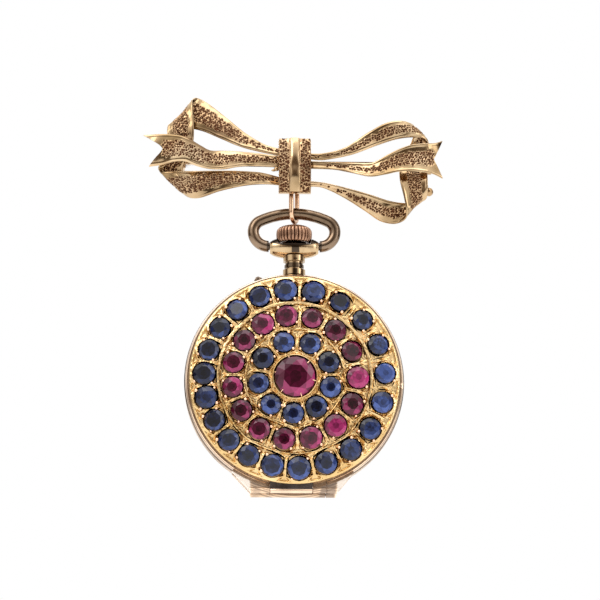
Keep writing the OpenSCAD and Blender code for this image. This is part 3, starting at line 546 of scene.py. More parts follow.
def ellipsoid(centre, radius, stretch, count=14, steps=9):
    x, y, z = centre
    sx, sy, sz = stretch
    verts = [(x, y, z + radius * sz)]
    for i in range(1, steps):
        t = math.pi * i / steps
        verts += [(x + radius * sx * math.sin(t) * math.cos(a),
                   y + radius * sy * math.sin(t) * math.sin(a),
                   z + radius * sz * math.cos(t)) for a in angles(count)]
    verts.append((x, y, z - radius * sz))
    last = len(verts) - 1
    faces = fan(0, 1, count) + bands(steps - 1, count, first=1, flip=True)
    return verts, faces + fan(last, last - count, count, flip=True)


def moved(matrix, verts):
    return [tuple(matrix @ Vector(v)) for v in verts]


def ease(start, end, x):
    t = np.clip((x - start) / (end - start), 0, 1)
    return t * t * (3 - 2 * t)


# ---------------------------------------------------------------- punched pits
def scatter(ix, iy, key):
    """A repeatable number from 0 to 1 for each cell."""
    v = np.sin(ix * 127.1 + iy * 311.7 + key * 74.7) * 43758.5453
    return v - np.floor(v)


def pit_field(s, w, zone, pitch, radius, seed):
    """Depth 0..1 of punched pits at s along and w across, and their thrown-up rims.

    zone(s, w) > 0 where a pit may be centred.
    """
    depth = np.zeros_like(s)
    burr = np.zeros_like(s)
    row_pitch = pitch * 0.87
    row = np.floor(w / row_pitch)
    for dy in (-1, 0, 1):
        iy = row + dy
        offset = (iy % 2) * 0.5
        column = np.floor(s / pitch - offset)
        for dx in (-1, 0, 1):
            ix = column + dx
            pit_s = (ix + offset + 0.5 + (scatter(ix, iy, seed) - 0.5) * 0.55) * pitch
            pit_w = (iy + 0.5 + (scatter(ix, iy, seed + 3) - 0.5) * 0.55) * row_pitch
            size = radius * (0.72 + 0.5 * scatter(ix, iy, seed + 5))
            d = np.hypot(s - pit_s, w - pit_w) / size
            allowed = zone(pit_s, pit_w) > 0
            depth = np.maximum(depth, np.clip(1.25 - d, 0, 1) * allowed)
            burr = np.maximum(burr, np.exp(-((d - 1.35) / 0.26) ** 2) * allowed)
    depth = np.clip(depth * 1.35, 0, 1)
    return depth, burr * (1 - depth)


# ---------------------------------------------------------------- ribbons
# the two edges of each ribbon, x y z, from the knot outwards
RIBBONS = {
    "loop_left": (
        [[-1.9, -4.7, 29.7], [-3.7, -4.5, 30.3], [-5.9, -4.2, 31.7], [-8.3, -3.9, 33.75],
         [-10.4, -3.8, 35.5], [-11.8, -3.9, 36.35], [-12.6, -4.7, 36.25], [-12.8, -6.0, 35.1],
         [-12.6, -6.35, 32.6], [-12.6, -6.2, 30.4], [-13.0, -5.3, 28.9], [-13.6, -4.4, 27.9],
         [-14.0, -3.9, 26.4], [-13.4, -4.4, 23.7], [-11.9, -5.6, 23.0], [-9.3, -6.0, 23.8],
         [-6.1, -5.8, 24.6], [-3.6, -5.4, 24.9], [-1.9, -5.0, 24.9]],
        [[-1.9, -5.1, 28.7], [-3.9, -5.1, 29.1], [-6.7, -5.1, 29.8], [-9.3, -5.0, 30.9],
         [-11.6, -4.8, 31.9], [-13.8, -4.6, 32.4], [-15.6, -5.2, 32.5], [-15.9, -6.0, 31.8],
         [-15.9, -6.25, 30.8], [-15.9, -6.0, 29.3], [-16.4, -5.2, 28.3], [-16.9, -4.5, 27.5],
         [-17.0, -4.4, 27.0], [-16.5, -5.1, 26.5], [-15.0, -5.6, 26.45], [-11.8, -5.7, 26.5],
         [-7.8, -5.5, 26.6], [-4.4, -5.2, 26.5], [-1.9, -4.9, 26.0]]),
    "loop_right": (
        [[1.9, -4.8, 24.8], [3.7, -4.6, 24.7], [6.3, -4.3, 23.5], [8.9, -4.0, 21.9],
         [10.7, -3.9, 20.7], [12.4, -4.0, 20.3], [13.5, -4.8, 20.5], [13.9, -6.0, 21.2],
         [13.6, -6.35, 23.1], [13.1, -6.2, 25.5], [13.2, -5.3, 27.7], [13.9, -4.4, 29.4],
         [14.8, -3.9, 31.1], [15.1, -4.4, 32.6], [13.9, -5.6, 33.2], [11.7, -6.0, 32.95],
         [9.3, -5.9, 31.7], [6.4, -5.5, 29.8], [3.7, -5.1, 29.1], [1.9, -4.9, 29.1]],
        [[1.9, -5.0, 25.5], [3.8, -5.0, 25.3], [6.8, -5.0, 24.6], [9.6, -5.0, 23.8],
         [11.9, -4.8, 23.1], [14.1, -4.6, 22.9], [16.2, -5.2, 23.2], [16.6, -6.0, 23.9],
         [16.6, -6.25, 25.1], [16.6, -6.0, 26.5], [16.7, -5.2, 28.0], [16.9, -4.5, 29.4],
         [17.0, -4.4, 30.3], [16.6, -5.1, 30.9], [15.1, -5.6, 31.1], [12.9, -5.8, 30.8],
         [10.4, -5.7, 30.0], [7.1, -5.4, 28.8], [3.8, -5.1, 28.2], [1.9, -5.0, 28.3]]),
    "tail_left": (
        [[-1.9, -5.6, 28.5], [-4.1, -5.8, 28.75], [-6.7, -5.9, 28.95], [-8.8, -6.1, 29.0],
         [-10.5, -6.6, 28.9], [-11.7, -7.0, 29.4], [-13.0, -7.3, 30.1], [-14.4, -7.4, 30.6],
         [-16.5, -7.5, 30.7], [-18.9, -7.2, 30.6]],
        [[-1.9, -5.7, 27.0], [-4.1, -6.0, 27.0], [-6.7, -6.5, 26.85], [-8.7, -6.9, 26.4],
         [-10.5, -7.2, 26.3], [-12.1, -7.4, 26.6], [-13.6, -7.4, 27.2], [-15.1, -7.5, 27.1],
         [-16.5, -7.5, 26.7], [-18.1, -7.3, 26.5]]),
    "tail_right": (
        [[1.9, -5.6, 27.9], [5.1, -5.8, 27.7], [7.7, -6.0, 27.6], [9.8, -6.4, 27.6],
         [11.6, -6.9, 28.5], [13.1, -7.2, 29.2], [14.6, -7.3, 29.7], [16.3, -7.2, 29.9],
         [17.5, -6.7, 30.1], [18.5, -6.0, 30.6]],
        [[1.9, -5.7, 26.9], [5.1, -6.0, 26.7], [7.5, -6.5, 26.1], [9.4, -7.0, 25.6],
         [11.2, -7.3, 25.8], [12.8, -7.5, 26.1], [14.3, -7.5, 26.2], [16.3, -7.3, 26.1],
         [17.4, -7.0, 25.9], [18.4, -6.6, 25.5]]),
}
RIBBON_THICK = 0.3
RIBBON_STEP = 0.058            # between rows along the ribbon
RIBBON_COLUMNS = 56
RIBBON_CROWN = 0.15            # doming across, per half width
NOTCH_REACH = 3.2              # length of tail drawn back by its notch


def spline(points, u):
    """Catmull-Rom curve through the points, one unit of u apart."""
    n = len(points) - 1
    i = min(int(math.floor(u)), n - 1)
    t = u - i
    p0, p1, p2, p3 = points[max(i - 1, 0)], points[i], points[i + 1], points[min(i + 2, n)]
    return 0.5 * ((2 * p1) + (p2 - p0) * t + (2 * p0 - 5 * p1 + 4 * p2 - p3) * t * t
                  + (3 * p1 - p0 - 3 * p2 + p3) * t ** 3)


def lengths(vectors):
    return np.linalg.norm(vectors, axis=1)


def ribbon_frames(edge_a, edge_b):
    """Even stations along the ribbon, with both edges, width and normal at each."""
    n = len(edge_a) - 1

    def middle(us):
        return np.array([(spline(edge_a, u) + spline(edge_b, u)) / 2 for u in us])

    us = np.linspace(0, n, 1200)
    travelled = np.concatenate([[0], np.cumsum(lengths(np.diff(middle(us), axis=0)))])
    length = travelled[-1]
    stations = np.linspace(0, length, int(length / RIBBON_STEP) + 1)
    us = np.interp(stations, travelled, us)
    side_a = np.array([spline(edge_a, u) for u in us])
    side_b = np.array([spline(edge_b, u) for u in us])
    reach = 0.03
    tangent = middle(np.minimum(us + reach, n)) - middle(np.maximum(us - reach, 0))
    tangent /= lengths(tangent)[:, None]
    across = side_b - side_a
    normal = np.cross(tangent, across)
    normal /= lengths(normal)[:, None]
    for _ in range(4):         # smooth the normals along the strip
        normal[1:-1] = (normal[:-2] + 2 * normal[1:-1] + normal[2:]) / 4
    normal /= lengths(normal)[:, None]
    return stations, side_a, side_b, lengths(across), normal


def ribbon(name, seed, pitted=0.60, notch=0.0):
    """pitted: share of the half width that is punched; notch: depth of the V in the end."""
    edge_a, edge_b = (np.array(edge, float) for edge in RIBBONS[name])
    stations, side_a, side_b, width, normal = ribbon_frames(edge_a, edge_b)
    length = stations[-1]
    # columns closer near the edges, for their rounding
    t = np.linspace(-1, 1, RIBBON_COLUMNS + 1)
    t = np.sign(t) * (1 - (1 - np.abs(t)) ** 1.15)
    across, along = np.meshgrid(t, stations)
    near_end = np.clip((along - (length - NOTCH_REACH)) / NOTCH_REACH, 0, 1)
    along = along - notch * (1 - np.abs(across)) * near_end * near_end

    def at(vectors):
        return np.stack([np.interp(along, stations, v) for v in vectors.T], -1)

    start, end, out = at(side_a), at(side_b), at(normal)
    sheet = start + (end - start) * ((across + 1) / 2)[..., None]
    rounding = np.sqrt(np.clip(1 - np.abs(across) ** 10, 0.0, 1))
    half = np.interp(along, stations, width) / 2
    # polished borders stand a little proud of the punched middle
    border = np.clip((np.abs(across) * half - (half - 0.42)) / 0.22, 0, 1)
    border = border * border * (3 - 2 * border)

    def zone(s, w):
        limit = np.maximum(np.interp(s, stations, width) / 2 * pitted - 0.19, 0.06)
        ragged = (scatter(np.floor(s * 2.2), np.floor(w * 2.2), seed + 9) - 0.5) * 0.16
        room = limit - np.abs(w) + ragged
        if notch:
            room = np.where(s > length - notch * 0.75 - 0.35, -1, room)
        return room

    w = across * half
    verts, pits, zones = [], [], []
    for side in (1, -1):
        pit, burr = pit_field(along, w, zone, pitch=0.325, radius=0.122, seed=seed + side)
        relief = 0.045 * border - 0.13 * pit * (1 - border * 0.6) + 0.035 * burr * (1 - border)
        # slow hand-worked unevenness that breaks up the reflections
        dent = 0.022 * np.sin(along * 1.9 + 1.3 * np.sin(w * 1.4 + seed) + seed) \
            + 0.012 * np.sin(along * 3.7 - w * 2.3 + 2 * seed)
        height = rounding * (RIBBON_THICK / 2 - 0.03 + relief + dent) \
            + RIBBON_CROWN * np.minimum(half, 1.6) * (1 - across ** 2) * side
        verts.append((sheet + out * (side * height)[..., None]).reshape(-1, 3))
        pits.append((pit * (1 - border * 0.5)).ravel())
        zones.append(ease(-0.10, 0.12, zone(along, w)).ravel())
    faces = closed_sheet(*along.shape, back_order=[3, 2, 1, 0], interleave=False)
    obj = new_mesh(name + "_sheet", np.concatenate(verts), faces, "gold_ribbon", "brooch",
                   angle=60)
    point_attribute(obj, "pit", np.concatenate(pits))
    point_attribute(obj, "zn", np.concatenate(zones))
    face_outwards(obj)
    smooth(obj, 70)
    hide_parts("ribbon_" + name)


ribbon("loop_left", seed=1, pitted=0.66)
ribbon("loop_right", seed=11)
ribbon("tail_left", seed=21, pitted=0.66, notch=2.4)
ribbon("tail_right", seed=31, notch=1.2)


# ---------------------------------------------------------------- knot band
KNOT_HALF = 2.0
KNOT_Y, KNOT_Z, KNOT_R = 1.6, 27.1, 9.0        # axis and radius of the band's arc
KNOT_FOOT, KNOT_HEAD = 23.5, 30.35             # z of the arc's ends
KNOT_OVER = 1.9                                # run over the top
KNOT_COLUMNS, KNOT_ROWS = 96, 190


def knot_relief(s, x, arc):
    """Height over the arc, pit depth and punched zone; returns the wavy-edged x too."""
    def zone(_, px):
        return np.where((np.abs(px) > 0.80) & (np.abs(px) < 1.84), 1.0, -1.0)

    pit, burr = pit_field(s, x, zone, pitch=0.36, radius=0.14, seed=51)
    off = np.abs(x)
    ridge_half = 0.62 + 0.06 * np.sin(s * 0.9 + 0.5)
    on_ridge = off < ridge_half
    ridge = 0.17 * np.clip(1 - (off / ridge_half) ** 2.6, 0, 1) ** 0.8 * on_ridge
    # the ridge is pinched halfway up
    ridge = ridge - 0.11 * np.exp(-((s - 0.50 * arc) / 0.75) ** 2) * on_ridge \
        * np.clip(1 - (off / ridge_half) ** 2, 0, 1)
    groove = -0.05 * np.exp(-((off - ridge_half - 0.04) / 0.05) ** 2)
    rim = 0.05 * np.clip((off - 1.74) / 0.1, 0, 1)
    rounding = -0.35 * np.clip((off - 1.86) / 0.14, 0, 1) ** 2
    bulge = 0.05 * (1 - (x / KNOT_HALF) ** 2)
    wave = 0.03 * np.sin(s * 4.1) * np.clip((off - 1.6) / 0.3, 0, 1)
    height = 0.20 + bulge + ridge + groove + rim + rounding + wave - 0.12 * pit + 0.03 * burr
    x = x + np.sign(x) * np.where(off > 1.55, 0.035 * np.sin(s * 8.3 + 2 * np.sin(s * 2.9)), 0.0)
    return height, pit, (off > ridge_half + 0.03).astype(float), x


def knot_band():
    """Front band of the knot: a smooth middle ridge, punched bands each side, bright edges."""
    foot = math.asin((KNOT_FOOT - KNOT_Z) / KNOT_R)
    head = math.asin((KNOT_HEAD - KNOT_Z) / KNOT_R)
    arc = KNOT_R * (head - foot)
    stations = np.linspace(0, arc + KNOT_OVER, KNOT_ROWS + 1)
    s, x = np.meshgrid(stations, np.linspace(-KNOT_HALF, KNOT_HALF, KNOT_COLUMNS + 1),
                       indexing="ij")
    height, pit, zone, x = knot_relief(s, x, arc)

    def on_arc(a):
        return np.array([0, KNOT_Y - KNOT_R * math.cos(a), KNOT_Z + KNOT_R * math.sin(a)])

    rows = []
    for i, at in enumerate(stations):
        if at <= arc:
            lean = foot + at / KNOT_R
            base = on_arc(lean)
        else:
            k = (at - arc) / KNOT_OVER
            lean = head + min(k * 1.6, 1.0) * math.radians(62)
            drop = -0.10 * k - 0.05 * math.sin(k * math.pi)
            base = on_arc(head) + np.array([0, KNOT_OVER * k * 0.95, drop])
        normal = np.array([0, -math.cos(lean), math.sin(lean)])
        tuck = 0.30 * max(0.0, 1 - at / 0.35) ** 2      # the bottom edge turns in
        row = base + np.outer(height[i] - tuck, normal)
        row[:, 0] += x[i]
        rows.append(row)
    front = np.concatenate(rows)
    # a back sheet gives it thickness
    back = front.copy()
    back[:, 1] = np.minimum(back[:, 1] + 0.35, -4.3)
    back[:, 0] = np.clip(back[:, 0], -1.9, 1.9)
    faces = closed_sheet(KNOT_ROWS + 1, KNOT_COLUMNS + 1, back_order=[0, 3, 2, 1],
                         interleave=True)
    obj = new_mesh("knot_band", np.concatenate([front, back]), faces, "gold_ribbon", "brooch",
                   angle=60)
    plain = np.zeros(len(back))
    point_attribute(obj, "pit", np.concatenate([pit.ravel(), plain]))
    point_attribute(obj, "zn", np.concatenate([zone.ravel(), plain]))
    face_outwards(obj)
    smooth(obj, 60)


knot_band()


# ---------------------------------------------------------------- setting pattern
# seats are laid out on the cover's own plane: x right, y up, z outwards
DOME_TOP, DOME_R = 8.45, 49.8
RUBY_R = 2.5                   # seat of the centre stone
STONE_GAP = 0.01               # a stone is this much smaller than its seat
OUTER = 3                      # number of the outer ring
# ring radius, full seat radius, first angle, uneven spacing (sine, cosine, degrees), and how much
# smaller each seat is, in hundredths of a millimetre
RINGS = (
    (4.5, 1.31, 107, -3.2, 0.9, (3, 4, 2, 4, 0, 4, 6, 6, 1)),
    (7.68, 1.38, 119, 2.5, 1.8, (0, 2, 9, 5, 11, 0, 0, 0, 0, 5, 6, 8, 11, 8, 5)),
    (11.05, 1.42, 90, -1.1, 5.8,
     (0, 0, 19, 18, 14, 17, 9, 9, 9, 6, 0, 6, 12, 12, 12, 4, 4, 14, 14, 12, 12)))


def seats():
    """x, y, seat radius, ring number and place in the ring."""
    found = [(0.0, 0.0, RUBY_R, 0, 0)]
    for ring, (radius, seat, first, by_sin, by_cos, smaller) in enumerate(RINGS, 1):
        for i, less in enumerate(smaller):
            turn = 360 * i / len(smaller)
            t = math.radians(turn)
            a = math.radians(first - turn + by_sin * math.sin(t) + by_cos * math.cos(t))
            found.append((radius * math.cos(a), radius * math.sin(a), seat - 0.01 * less, ring, i))
    return found


SEATS = seats()


def dome_at(r):
    return DOME_TOP - DOME_R + np.sqrt(DOME_R * DOME_R - r * r)


def seat_matrix(x, y):
    """From a stone's own frame (z outwards) to the model."""
    a = math.atan2(y, x)
    tilt = math.asin(math.hypot(x, y) / DOME_R)
    on_dome = Matrix.Rotation(a, 4, "Z") @ Matrix.Translation((0, 0, DOME_TOP - DOME_R)) \
        @ Matrix.Rotation(tilt, 4, "Y") @ Matrix.Translation((0, 0, DOME_R)) \
        @ Matrix.Rotation(-a, 4, "Z")
    return Matrix.Rotation(math.radians(90), 4, "X") @ on_dome


# ---------------------------------------------------------------- back cover and its hinge
COVER_R = 12.9
RIM_R = 12.8                   # where the rim turns over
COVER_POINTS = 1080
COVER_FLOOR = -0.32            # ground between the stones, below the dome
SEAT_FLOOR = -0.5
# rim edge and underside: radius, height
COVER_EDGE = [(COVER_R, 6.62), (COVER_R, 6.4), (12.88, 6.30), (12.86, 6.28), (12.35, 6.28),
              (12.35, float(dome_at(12.35)) - 0.55)]
COVER_EDGE += [(r, float(dome_at(r)) - 0.6) for r in (11.0, 9.0, 7.0, 5.0, 3.0, 1.0)]


def seat_lips(x, y):
    """A thin bright lip that hugs part of each stone, 0 to 1."""
    lips = np.zeros(x.shape)
    for seat_x, seat_y, seat, ring, i in SEATS[1:]:
        gap = np.hypot(x - seat_x, y - seat_y) - seat
        middle = math.atan2(seat_y, seat_x) + (0.5 if ring == OUTER else 2.6) \
            + 0.9 * math.sin(i * 2.4 + ring)
        facing = np.cos(np.arctan2(y - seat_y, x - seat_x) - middle)
        lips = np.maximum(lips, np.exp(-((gap - 0.14) / 0.085) ** 2) * ease(-0.55, 0.10, facing))
    return lips


def cover_relief(x, y, radius, angle):
    """Height of the cut metal over the dome."""
    nearest = np.full(x.shape, 9.0)
    second = np.full(x.shape, 9.0)
    for seat_x, seat_y, seat, _, _ in SEATS:
        gap = np.hypot(x - seat_x, y - seat_y) - seat
        second = np.minimum(np.maximum(gap, nearest), second)
        nearest = np.minimum(gap, nearest)
    # the rim acts as one more neighbour
    second = np.minimum(np.maximum(RIM_R - radius, nearest), second)

    # walls midway between neighbours
    wobble = 0.5 + 0.5 * np.sin(x * 2.3 + 1.1 * np.sin(y * 1.7)) \
        * np.sin(y * 2.1 + 0.8 * np.sin(x * 1.9))
    near = 1 - ease(0.26, 0.60, nearest)
    wall = 0.06 + 0.05 * wobble + 0.05 * near
    ridge = (1 - ease(wall, wall + 0.15, (second - nearest) / 2)) * (0.30 + 0.70 * near)
    h = COVER_FLOOR + (0.05 - COVER_FLOOR + 0.05 * wobble) * ridge
    h = np.maximum(h, COVER_FLOOR + 0.44 * seat_lips(x, y))

    # smooth bands between the rings: radius, half width, height
    upper_left = 0.5 + 0.5 * np.cos(angle - 2.35)
    upper_right = 0.5 + 0.5 * np.cos(angle - 0.75)
    for band, half, top in (
            (9.345, 0.04 + 0.15 * np.maximum(upper_left ** 2, upper_right ** 3), 0.10),
            (6.06, 0.03 + 0.06 * upper_left, 0.06)):
        stray = 0.05 * np.sin(angle * 5 + band) + 0.03 * np.sin(angle * 9 + 2 * band)
        on_band = 1 - ease(half, half + 0.12, np.abs(radius - band + stray))
        h = np.maximum(h, COVER_FLOOR + (top - COVER_FLOOR) * on_band)

    # rim: a smooth sloping band with a fine ripple
    rim = ease(12.50, 12.66, radius)
    h = h * (1 - rim) + 0.03 * rim * (1 - ease(12.7, COVER_R, radius))
    h = h + 0.018 * np.sin(angle * 132 + 3 * np.sin(angle * 3)) * rim \
        * (1 - ease(12.74, RIM_R, radius))
    # seats drop away under the stones
    h = np.where(nearest < 0.10, np.minimum(h, -0.40 + 0.50 * ease(0.015, 0.10, nearest)), h)
    h = np.where(nearest < 0.0, SEAT_FLOOR, h)
    # small hand-cut unevenness
    h = h + 0.012 * np.sin(x * 7.3 + 2 * np.sin(y * 5.1)) \
        * np.sin(y * 6.7 + 2 * np.cos(x * 4.3)) * ease(0.0, 0.10, nearest)
    # centre stone: thin raised bezel
    centre = np.hypot(x, y)
    bezel = np.exp(-(np.abs(centre - 2.70) / 0.15) ** 3)
    h = np.where(centre < 3.1, np.maximum(h, -0.30 + 0.50 * bezel), h)
    return np.where(centre < 2.52, SEAT_FLOOR, h)


def cover():
    radii = np.array([0.0, 0.6, 1.2, 1.8] + list(np.arange(2.2, 12.62, 0.055))
                     + [12.68, 12.74, 12.79, 12.83, 12.86, 12.885, COVER_R])
    count = COVER_POINTS
    turn = np.arange(count) * 2 * math.pi / count
    radius, angle = np.meshgrid(radii, turn, indexing="ij")
    x, y = radius * np.cos(angle), radius * np.sin(angle)
    z = dome_at(radius) + cover_relief(x, y, radius, angle)
    z = np.where(radius > RIM_R, dome_at(RIM_R) - 0.12 * ((radius - RIM_R) / 0.1) ** 2, z)
    rows = list(np.stack([x, y, z], -1)[1:])
    rows += [np.stack([r * np.cos(turn), r * np.sin(turn), np.full(count, height)], -1)
             for r, height in COVER_EDGE]
    verts = np.concatenate([[[0, 0, DOME_TOP + SEAT_FLOOR]], *rows, [[0, 0, DOME_TOP - 0.6]]])
    last = len(verts) - 1
    faces = bands(len(rows), count, first=1, flip=True) + fan(0, 1, count) \
        + fan(last, last - count, count, flip=True)
    verts = np.stack([verts[:, 0], -verts[:, 2], verts[:, 1]], -1)
    obj = new_mesh("cover_dome", verts, faces, "gold_cover", "cover", angle=50)
    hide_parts("back_cover")


def cover_hinge():
    left, right, y, z = -2.97, 2.17, -6.3, -13.62
    join_mesh("cover_hinge", [bar_x(left, right, y, z, radius=0.34, bore=0.18)],
              "hinge_pale", "cover")
    join_mesh("cover_hinge_leaf", [box((left, -6.62, z), (right, y, -12.4))],
              "hinge_leaf_grey", "cover")


cover()
cover_hinge()


# ---------------------------------------------------------------- beads and claws
# along a claw: distance from the stone's centre, height, half thickness
CLAW = ((2.64, 0.04, 0.075), (2.56, 0.24, 0.075), (2.36, 0.34, 0.06), (2.16, 0.40, 0.03))


def claw(degrees, count=10):
    a = math.radians(degrees)
    verts = []
    for x, height, thick in CLAW:
        for t in angles(count):
            y, z = thick * math.cos(t), height + thick * math.sin(t)
            verts.append((x * math.cos(a) - y * math.sin(a), x * math.sin(a) + y * math.cos(a),
                          z - 0.12))
    faces = bands(len(CLAW), count) + [list(range(count))[::-1]]
    faces.append([(len(CLAW) - 1) * count + j for j in range(count)])
    return moved(seat_matrix(0, 0), verts), faces


def grains():
    """Up to four beads round each ring stone, and six claws on the centre stone."""
    rng = random.Random(7)
    parts = []
    for seat_x, seat_y, seat, ring, _ in SEATS[1:]:
        for quarter in range(4):
            if rng.random() > (0.66 if ring == OUTER else 0.74):
                continue
            a = math.atan2(seat_y, seat_x) + math.radians(45 + 90 * quarter + rng.uniform(-9, 9))
            d = seat + 0.10 + rng.uniform(-0.02, 0.05)
            matrix = seat_matrix(seat_x + d * math.cos(a), seat_y + d * math.sin(a))
            radius = rng.uniform(0.165, 0.235)
            height = -0.02 + rng.uniform(-0.03, 0.05)
            verts, faces = ellipsoid((0, 0, height), radius, stretch=(1, 1, 1.15))
            parts.append((moved(matrix, verts), faces))
    parts += [claw(48 + 60 * i) for i in range(6)]
    join_mesh("grains", parts, "grain_beads", "cover", angle=80)


grains()


# ---------------------------------------------------------------- cut stones
STONE_BASE = -0.26             # underside of a stone, below the dome
STONE_LIFT = 0.02
# a pale heart is a painted reflection in the table
PALE = (104, 105, 106, 107, 108, 115, 205, 207, 101)   # seeds of stones with a pale heart


def brilliant(radius, seed, table, crown, rot, lit, heart, n=8):
    """Round cut stone in its own frame: verts, faces, and (shade, distance out) per face; the
    shade is painted light and reflection.

    table: its share of the radius; lit: direction of the brighter facets; heart: least shade
    of the table.
    """
    rng = random.Random(seed)
    top = STONE_BASE + 0.30 + crown
    verts, faces, shades = [(0, 0, top)], [], []

    def ring(share, z, count, phase=0.0):
        first = len(verts)
        for i in range(count):
            a = rot + 2 * math.pi * (i + phase) / count
            verts.append((radius * share * math.cos(a), radius * share * math.sin(a), z))
        return first

    inner = ring(0.30, top, n, 0.5)        # lines seen through the table
    rim = ring(table, top, n)
    mid = ring(0.80, top - crown * 0.42, n, 0.5)
    girdle = ring(0.985, STONE_BASE + 0.30 + 0.03, 2 * n)
    lower = ring(1, STONE_BASE + 0.27, 2 * n)
    foot = ring(0.97, STONE_BASE, 2 * n)

    def facet(face, shade, out):
        faces.append(face)
        shades.append((max(0.0, min(1.0, shade)), out))

    def chance(least, spread):
        return least + spread * rng.random()

    # painted light: facets turned towards lit are brighter
    def side(i, phase):
        return 0.26 * math.cos(rot + 2 * math.pi * (i + phase) / n - lit)

    for i in range(n):
        j = (i + 1) % n
        a, b, c = girdle + 2 * i, girdle + 2 * i + 1, girdle + (2 * i + 2) % (2 * n)
        facet([0, inner + i, inner + j], chance(heart, 0.30), 0.12)
        facet([inner + i, rim + j, inner + j], chance(heart, 0.34), 0.42)
        facet([inner + i, rim + i, rim + j], chance(heart, 0.38), 0.38)
        facet([rim + i, mid + i, rim + j], chance(0.32, 0.50) + side(i, 0.5), 0.72)
        facet([rim + i, mid + (i - 1) % n, a, mid + i], chance(0.28, 0.50) + side(i, 0.0), 0.84)
        facet([mid + i, a, b], chance(0.15, 0.5) + side(i, 0.3), 0.93)
        facet([mid + i, b, c], chance(0.15, 0.5) + side(i, 0.7), 0.93)
    for i in range(2 * n):
        j = (i + 1) % (2 * n)
        facet([girdle + i, lower + i, lower + j, girdle + j], 0.1, 1.0)
        facet([lower + i, foot + i, foot + j, lower + j], 0.05, 1.0)
    facet([foot + i for i in range(2 * n)][::-1], 0.0, 1.0)
    return verts, faces, shades


def stone_set(name, look, replaced, ring, first_seed, tones, table, table_step=0, skip=1):
    """All stones of a ring. Tables grow by table_step, varied by skip; tones run 0 to 1."""
    parts, gems = [], []
    for x, y, seat, _, i in (s for s in SEATS if s[3] == ring):
        seed = first_seed + i
        verts, faces, shades = brilliant(
            seat - STONE_GAP, seed, table + table_step * ((i * skip) % 3),
            crown=0.34 if seat < 2 else 0.5, rot=seed * 0.7,
            lit=-0.7 + 0.9 * math.sin(seed * 1.7), heart=0.10 + (0.42 if seed in PALE else 0.0))
        rng = random.Random(seed + 99)
        matrix = seat_matrix(x, y)
        for axis in "XY":      # no stone sits quite level
            matrix = matrix @ Matrix.Rotation(math.radians(rng.uniform(-4.5, 4.5)), 4, axis)
        verts = [(px, py, pz + STONE_LIFT) for px, py, pz in verts]
        parts.append((moved(matrix, verts), faces))
        gems += [(shade, out, tones[i], 1) for shade, out in shades]
    obj = join_mesh(name, parts, look, "cover", angle=1)
    face_outwards(obj)
    mesh = obj.data
    mesh.polygons.foreach_set("use_smooth", [False] * len(mesh.polygons))
    corners = np.zeros((len(mesh.loops), 4), np.float32)
    for face, values in zip(mesh.polygons, gems):
        for corner in face.loop_indices:
            corners[corner] = values
    made = mesh.color_attributes.new("gem", "FLOAT_COLOR", "CORNER")
    made.data.foreach_set("color", corners.ravel())
    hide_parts(replaced)


OUTER_TONES = (0.50, 0.46, 0.22, 0.26, 0.40, 0.78, 0.64, 0.36, 0.30, 0.44, 0.56, 0.58, 0.32,
               0.38, 0.28, 0.20, 0.18, 0.26, 0.20, 0.52, 0.46)
MIDDLE_TONES = (0.60, 0.56, 0.44, 0.28, 0.30, 0.80, 0.30, 0.70, 0.56, 0.46, 0.52, 0.32, 0.56,
                0.52, 0.34)
INNER_TONES = (0.62, 0.54, 0.20, 0.56, 0.32, 0.48, 0.50, 0.52, 0.16)
stone_set("sapphires_outer", "stone_blue", "outer_sapphires", ring=OUTER,
          first_seed=100, tones=OUTER_TONES, table=0.56, table_step=0.08, skip=7)
stone_set("rubies_middle", "stone_red", "ruby_ring", ring=2,
          first_seed=200, tones=MIDDLE_TONES, table=0.52, table_step=0.07, skip=5)
stone_set("sapphires_inner", "stone_blue", "inner_sapphires", ring=1,
          first_seed=300, tones=INNER_TONES, table=0.46, table_step=0.05, skip=5)
stone_set("ruby_centre", "stone_red", "centre_ruby", ring=0,
          first_seed=401, tones=(0.50,), table=0.60)


# ---------------------------------------------------------------- crown
CROWN_Y = -4.35
CROWN_FLUTES, FLUTE_POINTS = 28, 12
CROWN_PROFILE = (              # radius, z, share of the flute depth
    (1.5, 18.15, 0), (1.5, 17.65, 0), (1.56, 17.61, 0), (1.84, 17.60, 0), (1.97, 17.64, 0.5),
    (2.06, 17.76, 1.0), (2.15, 17.98, 1.0), (2.21, 18.30, 1.0), (2.235, 18.75, 1.0),
    (2.22, 19.0, 1.0), (2.17, 19.2, 1.0), (2.07, 19.36, 0.9), (1.93, 19.49, 0.75),
    (1.72, 19.61, 0.5), (1.45, 19.71, 0.25), (1.1, 19.80, 0.08), (0.7, 19.85, 0),
    (0.3, 19.87, 0))


def crown():
    count = CROWN_FLUTES * FLUTE_POINTS
    verts = []
    for radius, z, share in CROWN_PROFILE:
        for i, a in enumerate(angles(count)):
            phase = (i % FLUTE_POINTS) / FLUTE_POINTS
            r = radius - 0.20 * share * (1 - abs(math.sin(math.pi * phase))) ** 1.6
            verts.append((r * math.cos(a), CROWN_Y + r * math.sin(a), z))
    top = len(verts)
    verts += [(0, CROWN_Y, 19.875), (0, CROWN_Y, 18.15)]
    faces = bands(len(CROWN_PROFILE), count)
    faces += [[top - count + i, top - count + (i + 1) % count, top] for i in range(count)]
    faces += [[(i + 1) % count, i, top + 1] for i in range(count)]
    obj = new_mesh("crown_fluted", verts, faces, "rose_gold", "winding", angle=50)
    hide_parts("crown")


crown()


# ---------------------------------------------------------------- dial print
PRINT_Y, PRINT_THICK = -1.962, 0.02
NUMERAL_R, NUMERAL_SIZE = 7.75, 1.95


